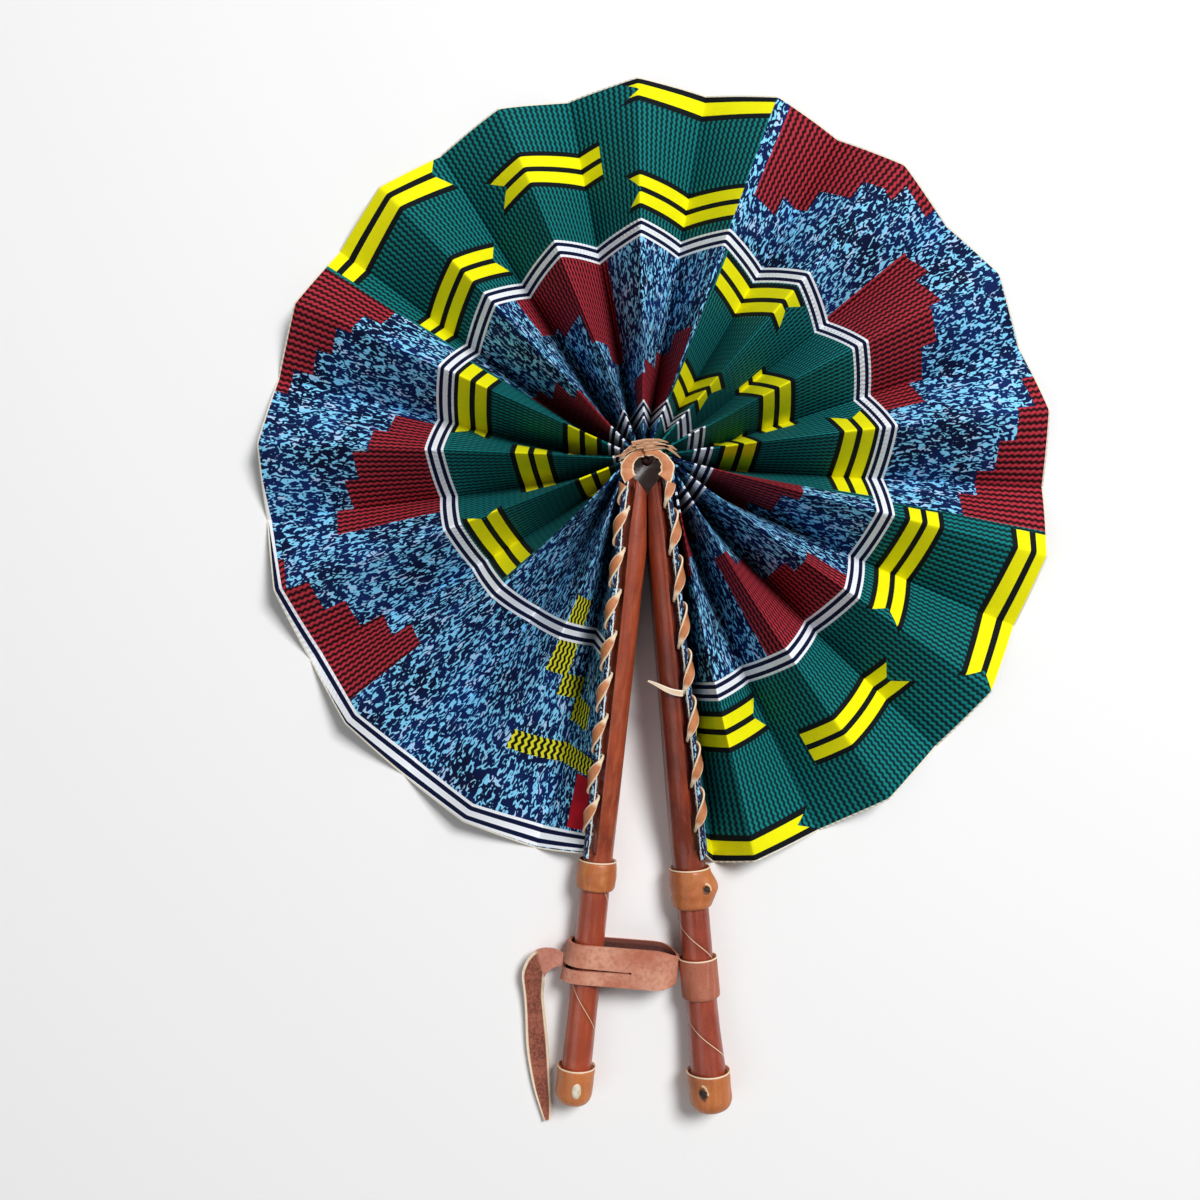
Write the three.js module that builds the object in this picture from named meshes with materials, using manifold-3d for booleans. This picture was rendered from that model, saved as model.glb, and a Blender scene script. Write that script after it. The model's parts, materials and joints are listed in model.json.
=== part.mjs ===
// A leather folding fan: a disc of pleated printed cloth between two leather-covered guards.
// The fan lies open on its back: +X is right, +Y is the top of the disc and +Z is up, to the front.
// Lengths are millimetres. Angles are degrees clockwise from straight down, seen from the front.

import * as THREE from 'three';
import { mergeVertices } from 'three/addons/utils/BufferGeometryUtils.js';
import Module from 'manifold-3d';

const wasm = await Module();
wasm.setup();

// The hub, where all folds meet, over the middle of the fan's box
const HUB_X = -3.61;
const HUB_Y = 51.54;

// The pleated cloth
const RIDGES = 16;
const LEFT_GUARD_ANGLE = 6; // each guard leans this far from straight down
const RIGHT_GUARD_ANGLE = 5.1;
const FIRST_RIDGE = LEFT_GUARD_ANGLE + 21;
const LAST_RIDGE = 360 - RIGHT_GUARD_ANGLE - 9.9;
const LAST_VALLEY = 360 - RIGHT_GUARD_ANGLE - 4.5; // the fold at the foot of the right guard
const RIDGE_PITCH = (LAST_RIDGE - FIRST_RIDGE) / (RIDGES - 1);
const RIDGE_SWAY = 3.4; // the ridges halfway round are turned clockwise by this much
const RIM_RADIUS = 159.5;
const RIM_SHIFT = 3.5; // the rim's centre lies this far to the right of the hub
const RIM_DROP = 3; // and this far below it
const RIM_RISE = 10.9; // height of the ridges where the rim is widest
const RIM_SPAN = 2 * (RIM_RADIUS + RIM_SHIFT) * Math.sin(Math.PI * RIDGE_PITCH / 720);
const PANEL = Math.hypot(RIM_SPAN, RIM_RISE); // from fold to fold, the depth of the closed fan
const CLOTH = 0.55; // stiffened cloth
const FOLD_GAP = 0.34; // between neighbouring pleats
const HOLE_HALF_WIDTH = 9.8; // the inner edge of the cloth runs round the top of this oval
const HOLE_HALF_HEIGHT = 8.8;
const HOLE_SHIFT = -0.6; // the oval's middle lies this far to the right of the hub
const HOLE_DROP = 6; // and this far below it
const HOLE_LEAN = 12; // how far past level the oval's used part goes on each side
const BOW_LEFT = 10; // how strongly the folds next to a guard bend towards it
const BOW_RIGHT = 5.5;
const BOW_SPREAD = 18;
const BOW_SHARE = 0.4; // how far out along a fold its bend pulls
const PLEAT_STEPS = 9;
const RING_CROWDING = 1.4; // the rings of a pleat stand closer near the hub

// The guards: a wooden core in a leather sleeve, with the grip as its round lower end
const GAP = 0.3; // between touching pieces
const SLEEVE = 1.2; // leather of the sleeves and grips
const BAND = 1.3; // leather of the collars and end caps
const FOOT_RADIUS = 2.5; // long edges along the back of a blade
const CAP_SEAT = 3; // a grip's leather ends this far inside its cap
const GRIP_FLAT = 0.6; // half the narrow flat along the back of a grip
const BEND_END = 50; // a guard's top bends outwards above this distance from the hub
const TIP_OUTER = 6; // the slanted top end, at the cloth side and at the other side
const TIP_INNER = 15;
const LIFT = BAND + GAP; // collars and caps hold the grips this far off the table

const LEFT = {
  side: -1, angle: LEFT_GUARD_ANGLE, offset: 2.8, bend: 0.8, apart: 0.52,
  halfWidths: [[0, 4.2], [6, 4.4], [28, 6.1], [50, 5.8], [150, 5.8], [170, 5.85], [240, 5.9]],
  collar: [159.5, 170.5], collarSwell: 0.6, knot: 0, lace: { start: 12.6, pitch: 16, turns: 8.5 },
  cap: [239.5, 254],
};
const RIGHT = {
  side: 1, angle: RIGHT_GUARD_ANGLE, offset: 2.4, bend: 0, apart: -0.41,
  halfWidths: [
    [0, 4], [6, 4.15], [28, 5.4], [50, 5.3], [150, 6.7], [170, 6.2], [205, 5.95], [225, 6.2], [240, 6.9],
  ],
  collar: [162, 177], collarSwell: 0.4, knot: 2.6, lace: { start: 11.8, pitch: 18, turns: 7.5 },
  cap: [240.5, 255.5],
};
const CAP_PEG = { t: -0.8, s: 246.5, halfAcross: 1.6, halfAlong: 2.8 }; // plug in the left cap
const CAP_HOLE = { t: -3.4, s: 246.5, radius: 1.3 }; // hole in the right cap
const KNOT_ANGLE = 25; // the knot under the right collar, up from the cloth side
const KNOT_SPREAD = 40;
const CAP_ROUNDING = 5;
const CAP_FLOOR_EDGE = 1; // the bottom inside a cap is rounded by this much

// The laced hem along the cloth side of each guard
const HEM_RADIUS = 1.2;
const HEM_TILT = 48; // where the hem sits on the round top of a guard, up from the cloth side
const HEM_OUT = 1; // its middle lies this far outside the leather
const HEM_START = 10;
const HEM_END = LEFT.collar[0] - 3.5;
const HEM_ROOM = 1; // between the lace and the guard
const LIFT_END = HEM_END - 1; // from here on a guard is a round grip
const LIFT_START = LIFT_END - 25;
const END_PANEL_RISE = 0.8; // how far up the round front of a guard the last panel reaches
const LACE_WIDTH = 3.7;
const LACE_THICK = 0.9;
const LACE_SLACK = 0.5; // between the lace and the hem
const LACE_LEAN = 0.8; // the visible half of a turn advances faster than the hidden half
const LACE_STEPS = 12;
const NOTCH = HEM_RADIUS + LACE_SLACK + LACE_THICK + HEM_ROOM; // hollow in the guard under the hem

// The lace round the hub and the loose end of the right lace
const HUB_LACE_WIDTH = 3.4;
const HUB_LACE_OVERHANG = 1; // its middle lies this far inside the edge of the hole
const HUB_LACE_LOW = 8; // it starts this far up the side of the hole
const HUB_LACE_PAST = 6; // and ends this far past the top
const TIE_RADIUS = 1.3;
const TIE_HALF_WIDTH = 1.1;
const TIE_HALF_HEIGHT = 2;
const LOOSE_END = {
  rootAt: 92, rootOut: 2.4, tipAt: 86, tipOut: -10.5, width: 2.4, tipWidth: 0.7, rise: 0.5,
};

// The strap that ties the two grips together
const STRAP_WIDTH = 15;
const STRAP_THICK = 1.1;
const STRAP_AT = 204.5; // its middle on the right grip
const STRAP_TRAVEL = 8; // how far it slides either way
const STRAP_TILT = -4.5;
const STRAP_DROP = 6; // the loop's left end lies this much nearer to the hub
const STRAP_ROOM = 2.2; // free space beside the left grip
const STRAP_SLIT = 26; // the slit is open at the loop's left end
const STRAP_SLIT_WIDTH = 1;
const STRAP_SLIT_SHARE = 0.62; // where the slit lies across the strap
// The loose end, from the loop's left side: x, y, z, direction across the strap and its width
const STRAP_TAIL = [
  [0, 0.4, 0, 90, 4.6], [-4.5, 0.6, -0.5, 90, 7.6], [-9.5, -1.8, -1.4, 108, 10.6],
  [-12, -7.4, -2.8, 145, 10.2], [-12, -14, -4.4, 172, 7.6], [-11.4, -22, -5.4, 180, 7.6],
  [-10.4, -36, -6.1, 184, 8.4], [-8.9, -49.6, -6.3, 188, 6.6], [-7.4, -58.4, -6.3, 192, 4.2],
  [-6.6, -64, -6.3, 195, 1.6],
];

const COLOURS = {
  wood: [0xb98d5f, 0.8],
  glossy: [0xa54b2d, 0.35],
  dark: [0x7d2c14, 0.4],
  tan: [0xc3733c, 0.5],
  lace: [0xe19664, 0.7],
  horn: [0xe8ddc4, 0.5],
  strap: [0xc0745c, 0.75],
  hem: [0x1d3f78, 0.85],
  blue: [0x27518c, 0.85],
  green: [0x0c6663, 0.85],
  red: [0x8e2a33, 0.85],
};

const rad = THREE.MathUtils.degToRad;
const lerp = THREE.MathUtils.lerp;
const clamp = THREE.MathUtils.clamp;

// Geometry helpers

// Straight-line value between the listed [distance, value] pairs.
function along(pairs, s) {
  const next = pairs.findIndex(([distance]) => distance >= s);
  if (next < 0) return pairs[pairs.length - 1][1];
  if (next === 0) return pairs[0][1];
  const [s0, v0] = pairs[next - 1];
  const [s1, v1] = pairs[next];
  return lerp(v0, v1, (s - s0) / (s1 - s0));
}

// Evenly spaced numbers from one value to another, both included.
function spread(from, to, steps) {
  return Array.from({ length: steps + 1 }, (_, i) => lerp(from, to, i / steps));
}

// Six times the volume inside a closed triangle mesh, negative when it is inside out.
function signedVolume(positions, index) {
  const [a, b, c] = [new THREE.Vector3(), new THREE.Vector3(), new THREE.Vector3()];
  let sum = 0;
  for (let i = 0; i < index.length; i += 3) {
    a.fromArray(positions, index[i] * 3);
    b.fromArray(positions, index[i + 1] * 3);
    c.fromArray(positions, index[i + 2] * 3);
    sum += a.dot(b.cross(c));
  }
  return sum;
}

// A closed body through a row of rings. A ring is { points, outline }: its corners in space, and
// the same corners flat, which only the two end faces need. A joined row comes back to its start.
// The second half of a ring's sides are split along their other diagonal, so that the two faces of
// a thin twisted wall bend alike and never cross.
function loft(rings, joined = false) {
  const count = rings[0].points.length;
  const positions = rings.flatMap((ring) => ring.points.flatMap((p) => [p.x, p.y, p.z]));
  const index = [];
  const rows = joined ? rings.length : rings.length - 1;
  for (let row = 0; row < rows; row += 1) {
    const here = row * count;
    const next = ((row + 1) % rings.length) * count;
    for (let i = 0; i < count; i += 1) {
      const j = (i + 1) % count;
      const corners = i < count / 2
        ? [here + i, here + j, next + j, here + i, next + j, next + i]
        : [here + i, here + j, next + i, here + j, next + j, next + i];
      index.push(...corners);
    }
  }
  if (!joined) {
    const last = (rings.length - 1) * count;
    const clockwise = THREE.ShapeUtils.isClockWise(rings[0].outline);
    for (const [a, b, c] of THREE.ShapeUtils.triangulateShape(rings[0].outline, [])) {
      index.push(...(clockwise ? [a, b, c] : [a, c, b]));
    }
    for (const [a, b, c] of THREE.ShapeUtils.triangulateShape(rings.at(-1).outline, [])) {
      index.push(...(clockwise ? [last + a, last + c, last + b] : [last + a, last + b, last + c]));
    }
  }
  // Rings that run the other way round give the same faces, seen from behind
  if (signedVolume(positions, index) < 0) index.reverse();
  const geometry = new THREE.BufferGeometry();
  geometry.setAttribute('position', new THREE.Float32BufferAttribute(positions, 3));
  geometry.setIndex(index);
  return geometry;
}

// The first solid with the others cut out of it.
function cut(geometry, ...tools) {
  const toManifold = (source) => {
    const bare = source.clone();
    bare.deleteAttribute('normal');
    bare.deleteAttribute('uv');
    const merged = mergeVertices(bare);
    return new wasm.Manifold(new wasm.Mesh({
      numProp: 3,
      vertProperties: new Float32Array(merged.attributes.position.array),
      triVerts: new Uint32Array(merged.index.array),
    }));
  };
  const whole = toManifold(geometry);
  const mesh = tools.reduce((body, tool) => body.subtract(toManifold(tool)), whole).getMesh();
  const result = new THREE.BufferGeometry();
  result.setAttribute('position', new THREE.BufferAttribute(mesh.vertProperties, 3));
  result.setIndex(new THREE.BufferAttribute(mesh.triVerts, 1));
  return result;
}

function piece(name, geometry, [colour, roughness]) {
  geometry.computeVertexNormals();
  const material = new THREE.MeshStandardMaterial({ color: colour, roughness, metalness: 0 });
  const mesh = new THREE.Mesh(geometry, material);
  mesh.name = name;
  return mesh;
}

// The shape of a guard. In a guard's own frame, s runs down from the hub along the guard and t
// runs across it towards the cloth.

const halfWidth = (guard, s) => along(guard.halfWidths, s);
const roundness = (s) => clamp((s - LIFT_START) / (LIFT_END - LIFT_START), 0, 1);
const backHeight = (s) => LIFT * roundness(s);

// The height of a ridge of the open cloth at the distance s from the hub.
function openHeight(s) {
  const span = 2 * s * Math.sin(rad(RIDGE_PITCH / 4));
  return Math.sqrt(Math.max(PANEL ** 2 - span ** 2, 0));
}

// The front of a guard follows the ridges until it has become the round grip.
function frontHeight(guard, s) {
  const grip = backHeight(s) + 2 * halfWidth(guard, s);
  return Math.max(lerp(openHeight(s), grip, roundness(s) ** 4), grip);
}

// The middle of a guard across t.
function middle(guard, s) {
  const bent = Math.max(BEND_END - s, 0) / BEND_END;
  return guard.offset + guard.bend * bent ** 2;
}

// The middle of the hem on the round front of a guard, as t and z.
function hemMiddle(guard, s) {
  const half = halfWidth(guard, s);
  const reach = half + HEM_OUT;
  return new THREE.Vector2(
    middle(guard, s) + reach * Math.cos(rad(HEM_TILT)),
    frontHeight(guard, s) - half + reach * Math.sin(rad(HEM_TILT)),
  );
}

// From a guard's own t, s and z to the frame whose origin is the hub.
function guardPoint(guard, t, s, z) {
  const sine = Math.sin(rad(guard.angle));
  const cosine = Math.cos(rad(guard.angle));
  return new THREE.Vector3(guard.side * (t * cosine + s * sine), t * sine - s * cosine, z);
}

// A ring from flat t, z corners at the distance s, slanted where the guard's top end is cut. The
// two top ends stop short of each other.
function ringAt(guard, s, outline, inset) {
  const slant = (TIP_INNER - TIP_OUTER) / (2 * halfWidth(guard, TIP_OUTER));
  const share = clamp(1 - (s - TIP_OUTER) / BEND_END, 0, 1);
  const points = outline.map((p) => {
    const across = p.x - middle(guard, s) - halfWidth(guard, s);
    const point = guardPoint(guard, p.x, s - share * slant * across, p.y);
    point.x = guard.side * Math.max(guard.side * point.x, guard.apart + inset);
    return point;
  });
  return { points, outline };
}

// One cross-section of a guard, drawn in from its surface: a round front, straight sides and a
// flat back, with a hollow for the hem.
function guardRing(guard, s, inset) {
  const half = halfWidth(guard, s) - inset;
  const low = backHeight(s) + inset;
  const high = frontHeight(guard, s) - inset;
  const foot = Math.max(lerp(FOOT_RADIUS, half + inset - GRIP_FLAT, roundness(s)) - inset, GRIP_FLAT);
  const arcs = [
    { t: 0, z: high - half, radius: half, from: 0, to: 180, steps: 18 },
    { t: foot - half, z: low + foot, radius: foot, from: 180, to: 270, steps: 3 },
    { t: half - foot, z: low + foot, radius: foot, from: 270, to: 360, steps: 3 },
  ];
  const hem = hemMiddle(guard, s);
  const hollow = s < HEM_END + 1 ? NOTCH + inset : 0;
  const outline = arcs.flatMap((arc) => spread(arc.from, arc.to, arc.steps).map((angle) => {
    const p = new THREE.Vector2(
      middle(guard, s) + arc.t + arc.radius * Math.cos(rad(angle)),
      arc.z + arc.radius * Math.sin(rad(angle)),
    );
    const fromHem = p.clone().sub(hem);
    return fromHem.length() < hollow ? fromHem.setLength(hollow).add(hem) : p;
  }));
  return ringAt(guard, s, outline, inset);
}

// A round ring about a grip, with its lowest part pressed flat on the table.
function bandRing(guard, s, radius, swell = () => 0) {
  const centre = new THREE.Vector2(middle(guard, s), backHeight(s) + halfWidth(guard, s));
  const outline = spread(0, 342, 19).map((angle) => {
    const reach = radius + swell(angle);
    const z = centre.y + reach * Math.sin(rad(angle));
    return new THREE.Vector2(centre.x + reach * Math.cos(rad(angle)), Math.max(z, 0));
  });
  const points = outline.map((p) => guardPoint(guard, p.x, s, p.y));
  return { points, outline };
}

// The pieces of a guard

// Distances from the hub at which a blade has a cross-section.
const bladeStations = (end) => [
  ...spread(TIP_OUTER, BEND_END, 4), ...spread(BEND_END, LIFT_START, 4).slice(1),
  ...spread(LIFT_START, HEM_END, 4).slice(1), HEM_END + 2, end,
];

function makeCore(guard) {
  const inset = SLEEVE + GAP;
  const end = guard.cap[1] - BAND - GAP;
  const start = TIP_OUTER + inset;
  const stations = [start, ...bladeStations(guard.collar[0]).slice(1), ...spread(guard.collar[1], end, 4)];
  return loft(stations.map((s) => guardRing(guard, s, inset)));
}

function makeSleeve(guard) {
  const stations = bladeStations((guard.collar[0] + guard.collar[1] - GAP) / 2);
  const outer = stations.map((s) => guardRing(guard, s, 0));
  const inner = stations.map((s) => guardRing(guard, s, SLEEVE)).reverse();
  return loft([...outer, ...inner], true);
}

function makeGrip(guard) {
  const stations = spread((guard.collar[0] + guard.collar[1] + GAP) / 2, guard.cap[0] + CAP_SEAT, 6);
  const outer = stations.map((s) => guardRing(guard, s, 0));
  const inner = stations.map((s) => guardRing(guard, s, SLEEVE)).reverse();
  return loft([...outer, ...inner], true);
}

// A collar covers the joint of sleeve and grip. The right one has a knot on its cloth side.
function makeCollar(guard) {
  const [start, end] = guard.collar;
  const stations = spread(start, end, 6);
  const inside = Math.max(...stations.map((s) => halfWidth(guard, s))) + GAP;
  const outer = stations.map((s) => {
    const bulge = Math.sin(Math.PI * (s - start) / (end - start));
    const swell = (angle) => {
      const turned = Math.abs(angle - KNOT_ANGLE);
      const away = Math.min(turned, 360 - turned) / KNOT_SPREAD;
      return bulge * (guard.collarSwell + guard.knot * Math.max(0, 1 - away ** 2) * bulge);
    };
    return bandRing(guard, s, halfWidth(guard, s) + GAP + BAND, swell);
  });
  const inner = stations.map((s) => bandRing(guard, s, Math.min(inside, halfWidth(guard, s) + 2 * GAP)));
  return loft([...outer, ...inner.reverse()], true);
}

// An end cap is a cup of leather over the end of the grip.
function makeCap(guard) {
  const [start, end] = guard.cap;
  const outside = halfWidth(guard, start) + GAP + BAND;
  const corner = spread(0, 80, 4).map((angle) => [
    end - CAP_ROUNDING + CAP_ROUNDING * Math.sin(rad(angle)),
    outside - CAP_ROUNDING + CAP_ROUNDING * Math.cos(rad(angle)),
  ]);
  const inside = halfWidth(guard, end) + GAP;
  const rings = [
    [end - BAND, inside - CAP_FLOOR_EDGE], [end - BAND - CAP_FLOOR_EDGE, inside], [start, inside],
    [start, outside], ...corner, [end, outside - CAP_ROUNDING],
  ];
  return loft(rings.map(([s, radius]) => bandRing(guard, s, radius)));
}

// An upright oval peg, to cut its hole or to fill it.
function makePeg(guard, t, s, halfAcross, halfAlong, low, high) {
  const outline = spread(0, 330, 11).map((angle) => new THREE.Vector2(
    middle(guard, s) + t + halfAcross * Math.cos(rad(angle)),
    s + halfAlong * Math.sin(rad(angle)),
  ));
  return loft([low, high].map((z) => ({
    points: outline.map((p) => guardPoint(guard, p.x, p.y, z)),
    outline,
  })));
}

// The rolled edge of the cloth that the lace holds to the guard.
function makeHem(guard) {
  const stations = spread(HEM_START, HEM_END - 2, 24);
  return loft(stations.map((s) => {
    const centre = hemMiddle(guard, s);
    const outline = spread(0, 315, 7).map((angle) => new THREE.Vector2(
      centre.x + HEM_RADIUS * Math.cos(rad(angle)),
      centre.y + HEM_RADIUS * Math.sin(rad(angle)),
    ));
    return { points: outline.map((p) => guardPoint(guard, p.x, s, p.y)), outline };
  }));
}

// A flat thong through the points of a path. Its flat side faces along the given normals.
function thong(path, normals, widths, thick) {
  const outline = [[-1, -1], [1, -1], [1, 1], [-1, 1]].map(([x, y]) => new THREE.Vector2(x, y));
  return loft(path.map((centre, i) => {
    const before = path[Math.max(i - 1, 0)];
    const after = path[Math.min(i + 1, path.length - 1)];
    const run = after.clone().sub(before).normalize();
    const across = run.clone().cross(normals[i]).normalize();
    const up = across.clone().cross(run).normalize();
    const points = outline.map((corner) => centre.clone()
      .addScaledVector(across, corner.x * widths[i] / 2)
      .addScaledVector(up, corner.y * thick / 2));
    return { points, outline };
  }));
}

// The middle line of the lace, which winds round the hem and leans the same way on both guards.
function lacePath(guard) {
  const reach = HEM_RADIUS + LACE_SLACK + LACE_THICK / 2;
  const { start, pitch, turns } = guard.lace;
  const path = [];
  const normals = [];
  for (const turn of spread(0, 2 * Math.PI * turns, turns * LACE_STEPS)) {
    const angle = rad(HEM_TILT) + guard.side * turn;
    const s = start + pitch * (turn + LACE_LEAN * Math.sin(turn)) / (2 * Math.PI);
    const hem = hemMiddle(guard, s);
    const onHem = guardPoint(guard, hem.x, s, hem.y);
    const t = hem.x + reach * Math.cos(angle);
    path.push(guardPoint(guard, t, s, hem.y + reach * Math.sin(angle)));
    normals.push(path.at(-1).clone().sub(onHem).normalize());
  }
  return { path, normals };
}

// The least clear distance between one turn of a lace and the next.
function leastGap(path) {
  let least = Infinity;
  for (let i = 0; i < path.length; i += 1) {
    for (let j = i + LACE_STEPS - 2; j < path.length; j += 1) {
      least = Math.min(least, path[i].distanceTo(path[j]));
    }
  }
  return least - Math.hypot(LACE_WIDTH, LACE_THICK);
}

function makeLace(guard) {
  const { path, normals } = lacePath(guard);
  console.log(`lace turns stay ${leastGap(path).toFixed(2)} mm apart`);
  return thong(path, normals, path.map(() => LACE_WIDTH), LACE_THICK);
}

// The pleated cloth. Fold 0 is the valley at the left guard, odd folds are ridges.

const LAST_FOLD = 2 * RIDGES;
function foldAngle(fold) {
  if (fold === LAST_FOLD) return LAST_VALLEY;
  const sway = RIDGE_SWAY * Math.sin(Math.PI * (fold - 1) / (LAST_FOLD - 2));
  return FIRST_RIDGE + (fold - 1) * RIDGE_PITCH / 2 + sway;
}
const outwards = (angle) => new THREE.Vector2(-Math.sin(rad(angle)), -Math.cos(rad(angle)));
const clockwise = (angle) => new THREE.Vector2(-Math.cos(rad(angle)), Math.sin(rad(angle)));

// Where a fold meets the rim.
function rimPoint(fold) {
  const direction = outwards(foldAngle(fold));
  const centre = new THREE.Vector2(RIM_SHIFT, -RIM_DROP);
  const lengthwise = direction.dot(centre);
  const reach = lengthwise + Math.sqrt(RIM_RADIUS ** 2 - centre.lengthSq() + lengthwise ** 2);
  return direction.multiplyScalar(reach);
}

// Where a fold starts, on the oval round the hub.
function holePoint(fold) {
  const angle = lerp(180 + HOLE_LEAN, -HOLE_LEAN, fold / LAST_FOLD);
  return new THREE.Vector2(
    HOLE_SHIFT + HOLE_HALF_WIDTH * Math.cos(rad(angle)),
    HOLE_HALF_HEIGHT * Math.sin(rad(angle)) - HOLE_DROP,
  );
}

// A fold bends towards a guard most when it lies BOW_SPREAD degrees from it.
const bowShape = (away) => Math.max(away, 0) / BOW_SPREAD * Math.exp(1 - Math.max(away, 0) / BOW_SPREAD);

// Shares of a fold's length at which the cloth has a cross-section.
const foldShares = () => spread(0, 1, PLEAT_STEPS).map((step) => step ** RING_CROWDING);

// The place of a fold on the table, from 0 at the hub to 1 at the rim.
function foldPoint(fold, share) {
  const angle = foldAngle(fold);
  const start = holePoint(fold);
  const end = rimPoint(fold);
  const bow = BOW_RIGHT * bowShape(LAST_VALLEY - angle) - BOW_LEFT * bowShape(angle - foldAngle(0) / 2);
  const control = start.clone().lerp(end, BOW_SHARE).addScaledVector(clockwise(angle), bow);
  return start.clone().multiplyScalar((1 - share) ** 2)
    .addScaledVector(control, 2 * share * (1 - share))
    .addScaledVector(end, share ** 2);
}

// The height of the ridge of a pleat, which its two panels leave.
function ridgeHeight(ridgeFold, share) {
  const ridge = foldPoint(ridgeFold, share);
  const spans = [-1, 1].map((step) => ridge.distanceTo(foldPoint(ridgeFold + step, share)));
  return Math.sqrt(PANEL ** 2 - Math.max(...spans) ** 2);
}

// One pleat is an upturned V of cloth on the two valleys beside its ridge.
function makePleat(number) {
  const ridgeFold = 2 * number - 1;
  const rings = foldShares().map((share) => {
    const ridge = foldPoint(ridgeFold, share);
    const height = ridgeHeight(ridgeFold, share);
    const thick = CLOTH * PANEL / height;
    const feet = [-1, 1].map((side) => {
      const valley = foldPoint(ridgeFold + side, share);
      const span = ridge.distanceTo(valley);
      const inFromValley = (inset) => valley.clone().lerp(ridge, inset / span);
      return { span, outer: inFromValley(FOLD_GAP / 2), inner: inFromValley(FOLD_GAP / 2 + thick) };
    });
    const span = Math.min(feet[0].span, feet[1].span);
    const under = height * (1 - thick / span);
    const lift = (p, z) => new THREE.Vector3(p.x, p.y, z);
    const points = [
      lift(feet[0].outer, 0), lift(ridge, height), lift(feet[1].outer, 0),
      lift(feet[1].inner, 0), lift(ridge, under), lift(feet[0].inner, 0),
    ];
    const outline = [
      [-span, 0], [0, height], [span, 0], [span - thick, 0], [0, under], [thick - span, 0],
    ].map(([x, y]) => new THREE.Vector2(x, y));
    return { points, outline };
  });
  return loft(rings);
}

// The last panel at each side runs from the foot of the next pleat up the side of the guard.
function makeEndPanel(guard) {
  const fold = guard === LEFT ? 0 : LAST_FOLD;
  const rings = foldShares().map((share) => {
    const valley = foldPoint(fold, share);
    const s = lerp(TIP_OUTER + 2, HEM_END - 2, share);
    const half = halfWidth(guard, s);
    const inner = middle(guard, s) + half + GAP;
    const top = frontHeight(guard, s) - half + END_PANEL_RISE;
    const face = [inner, inner + CLOTH].map((t) => guardPoint(guard, t, s, top));
    const back = new THREE.Vector2(face[0].x, face[0].y);
    const span = back.distanceTo(valley);
    const foot = [FOLD_GAP / 2, FOLD_GAP / 2 + CLOTH].map((inset) => {
      const place = valley.clone().lerp(back, inset / span);
      return new THREE.Vector3(place.x, place.y, 0);
    });
    const points = [...face, ...foot];
    const flat = [[0, top], [CLOTH, top], [span, 0], [span - CLOTH, 0]];
    const outline = flat.map(([x, y]) => new THREE.Vector2(x, y));
    return { points, outline };
  });
  return loft(rings);
}

// The lace round the hub

// A thong along the inner edge of the cloth, over the inner ends of the ridges.
function makeHubLace(from, to, z) {
  const angles = spread(from, to, 10);
  const path = angles.map((angle) => new THREE.Vector3(
    HOLE_SHIFT + (HOLE_HALF_WIDTH - HUB_LACE_OVERHANG) * Math.cos(rad(angle)),
    (HOLE_HALF_HEIGHT - HUB_LACE_OVERHANG) * Math.sin(rad(angle)) - HOLE_DROP,
    z,
  ));
  const normals = path.map(() => new THREE.Vector3(0, 0, 1));
  return thong(path, normals, path.map(() => HUB_LACE_WIDTH), LACE_THICK);
}

// The knot of lace deep in the hole, round the line that the guards turn about.
function makeHubTie() {
  const profile = spread(0, 315, 7).map((angle) => new THREE.Vector2(
    TIE_RADIUS + TIE_HALF_WIDTH * Math.cos(rad(angle)),
    PANEL / 2 + TIE_HALF_HEIGHT * Math.sin(rad(angle)),
  ));
  profile.push(profile[0].clone());
  const ring = new THREE.LatheGeometry(profile, 16);
  ring.rotateX(Math.PI / 2);
  return cut(ring);
}

// The loose end of the right lace, lying across the guard.
function makeLaceEnd() {
  const { rootAt, rootOut, tipAt, tipOut, width, tipWidth, rise } = LOOSE_END;
  const clear = LACE_THICK / 2 + rise;
  const root = guardPoint(RIGHT, middle(RIGHT, rootAt) + rootOut, rootAt, openHeight(rootAt) + clear);
  const tip = guardPoint(RIGHT, middle(RIGHT, tipAt) + tipOut, tipAt, openHeight(tipAt) + clear + rise);
  const curve = new THREE.CatmullRomCurve3([
    root,
    root.clone().lerp(tip, 1 / 3).add(new THREE.Vector3(0, -LACE_THICK, 0)),
    root.clone().lerp(tip, 2 / 3),
    tip,
  ]);
  const steps = 8;
  const path = curve.getPoints(steps);
  const widths = path.map((_, i) => lerp(width, tipWidth, (i / steps) ** 2));
  return thong(path, path.map(() => new THREE.Vector3(0, 0, 1)), widths, LACE_THICK);
}

// The strap

// The band of the strap round the right grip.
function makeStrapSleeve() {
  const stations = spread(STRAP_AT - STRAP_WIDTH / 2, STRAP_AT + STRAP_WIDTH / 2, 3);
  const inside = halfWidth(RIGHT, stations.at(-1) + STRAP_TRAVEL) + GAP;
  const outer = stations.map((s) => bandRing(RIGHT, s, inside + STRAP_THICK));
  const inner = stations.map((s) => bandRing(RIGHT, s, inside)).reverse();
  return loft([...outer, ...inner], true);
}

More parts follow.
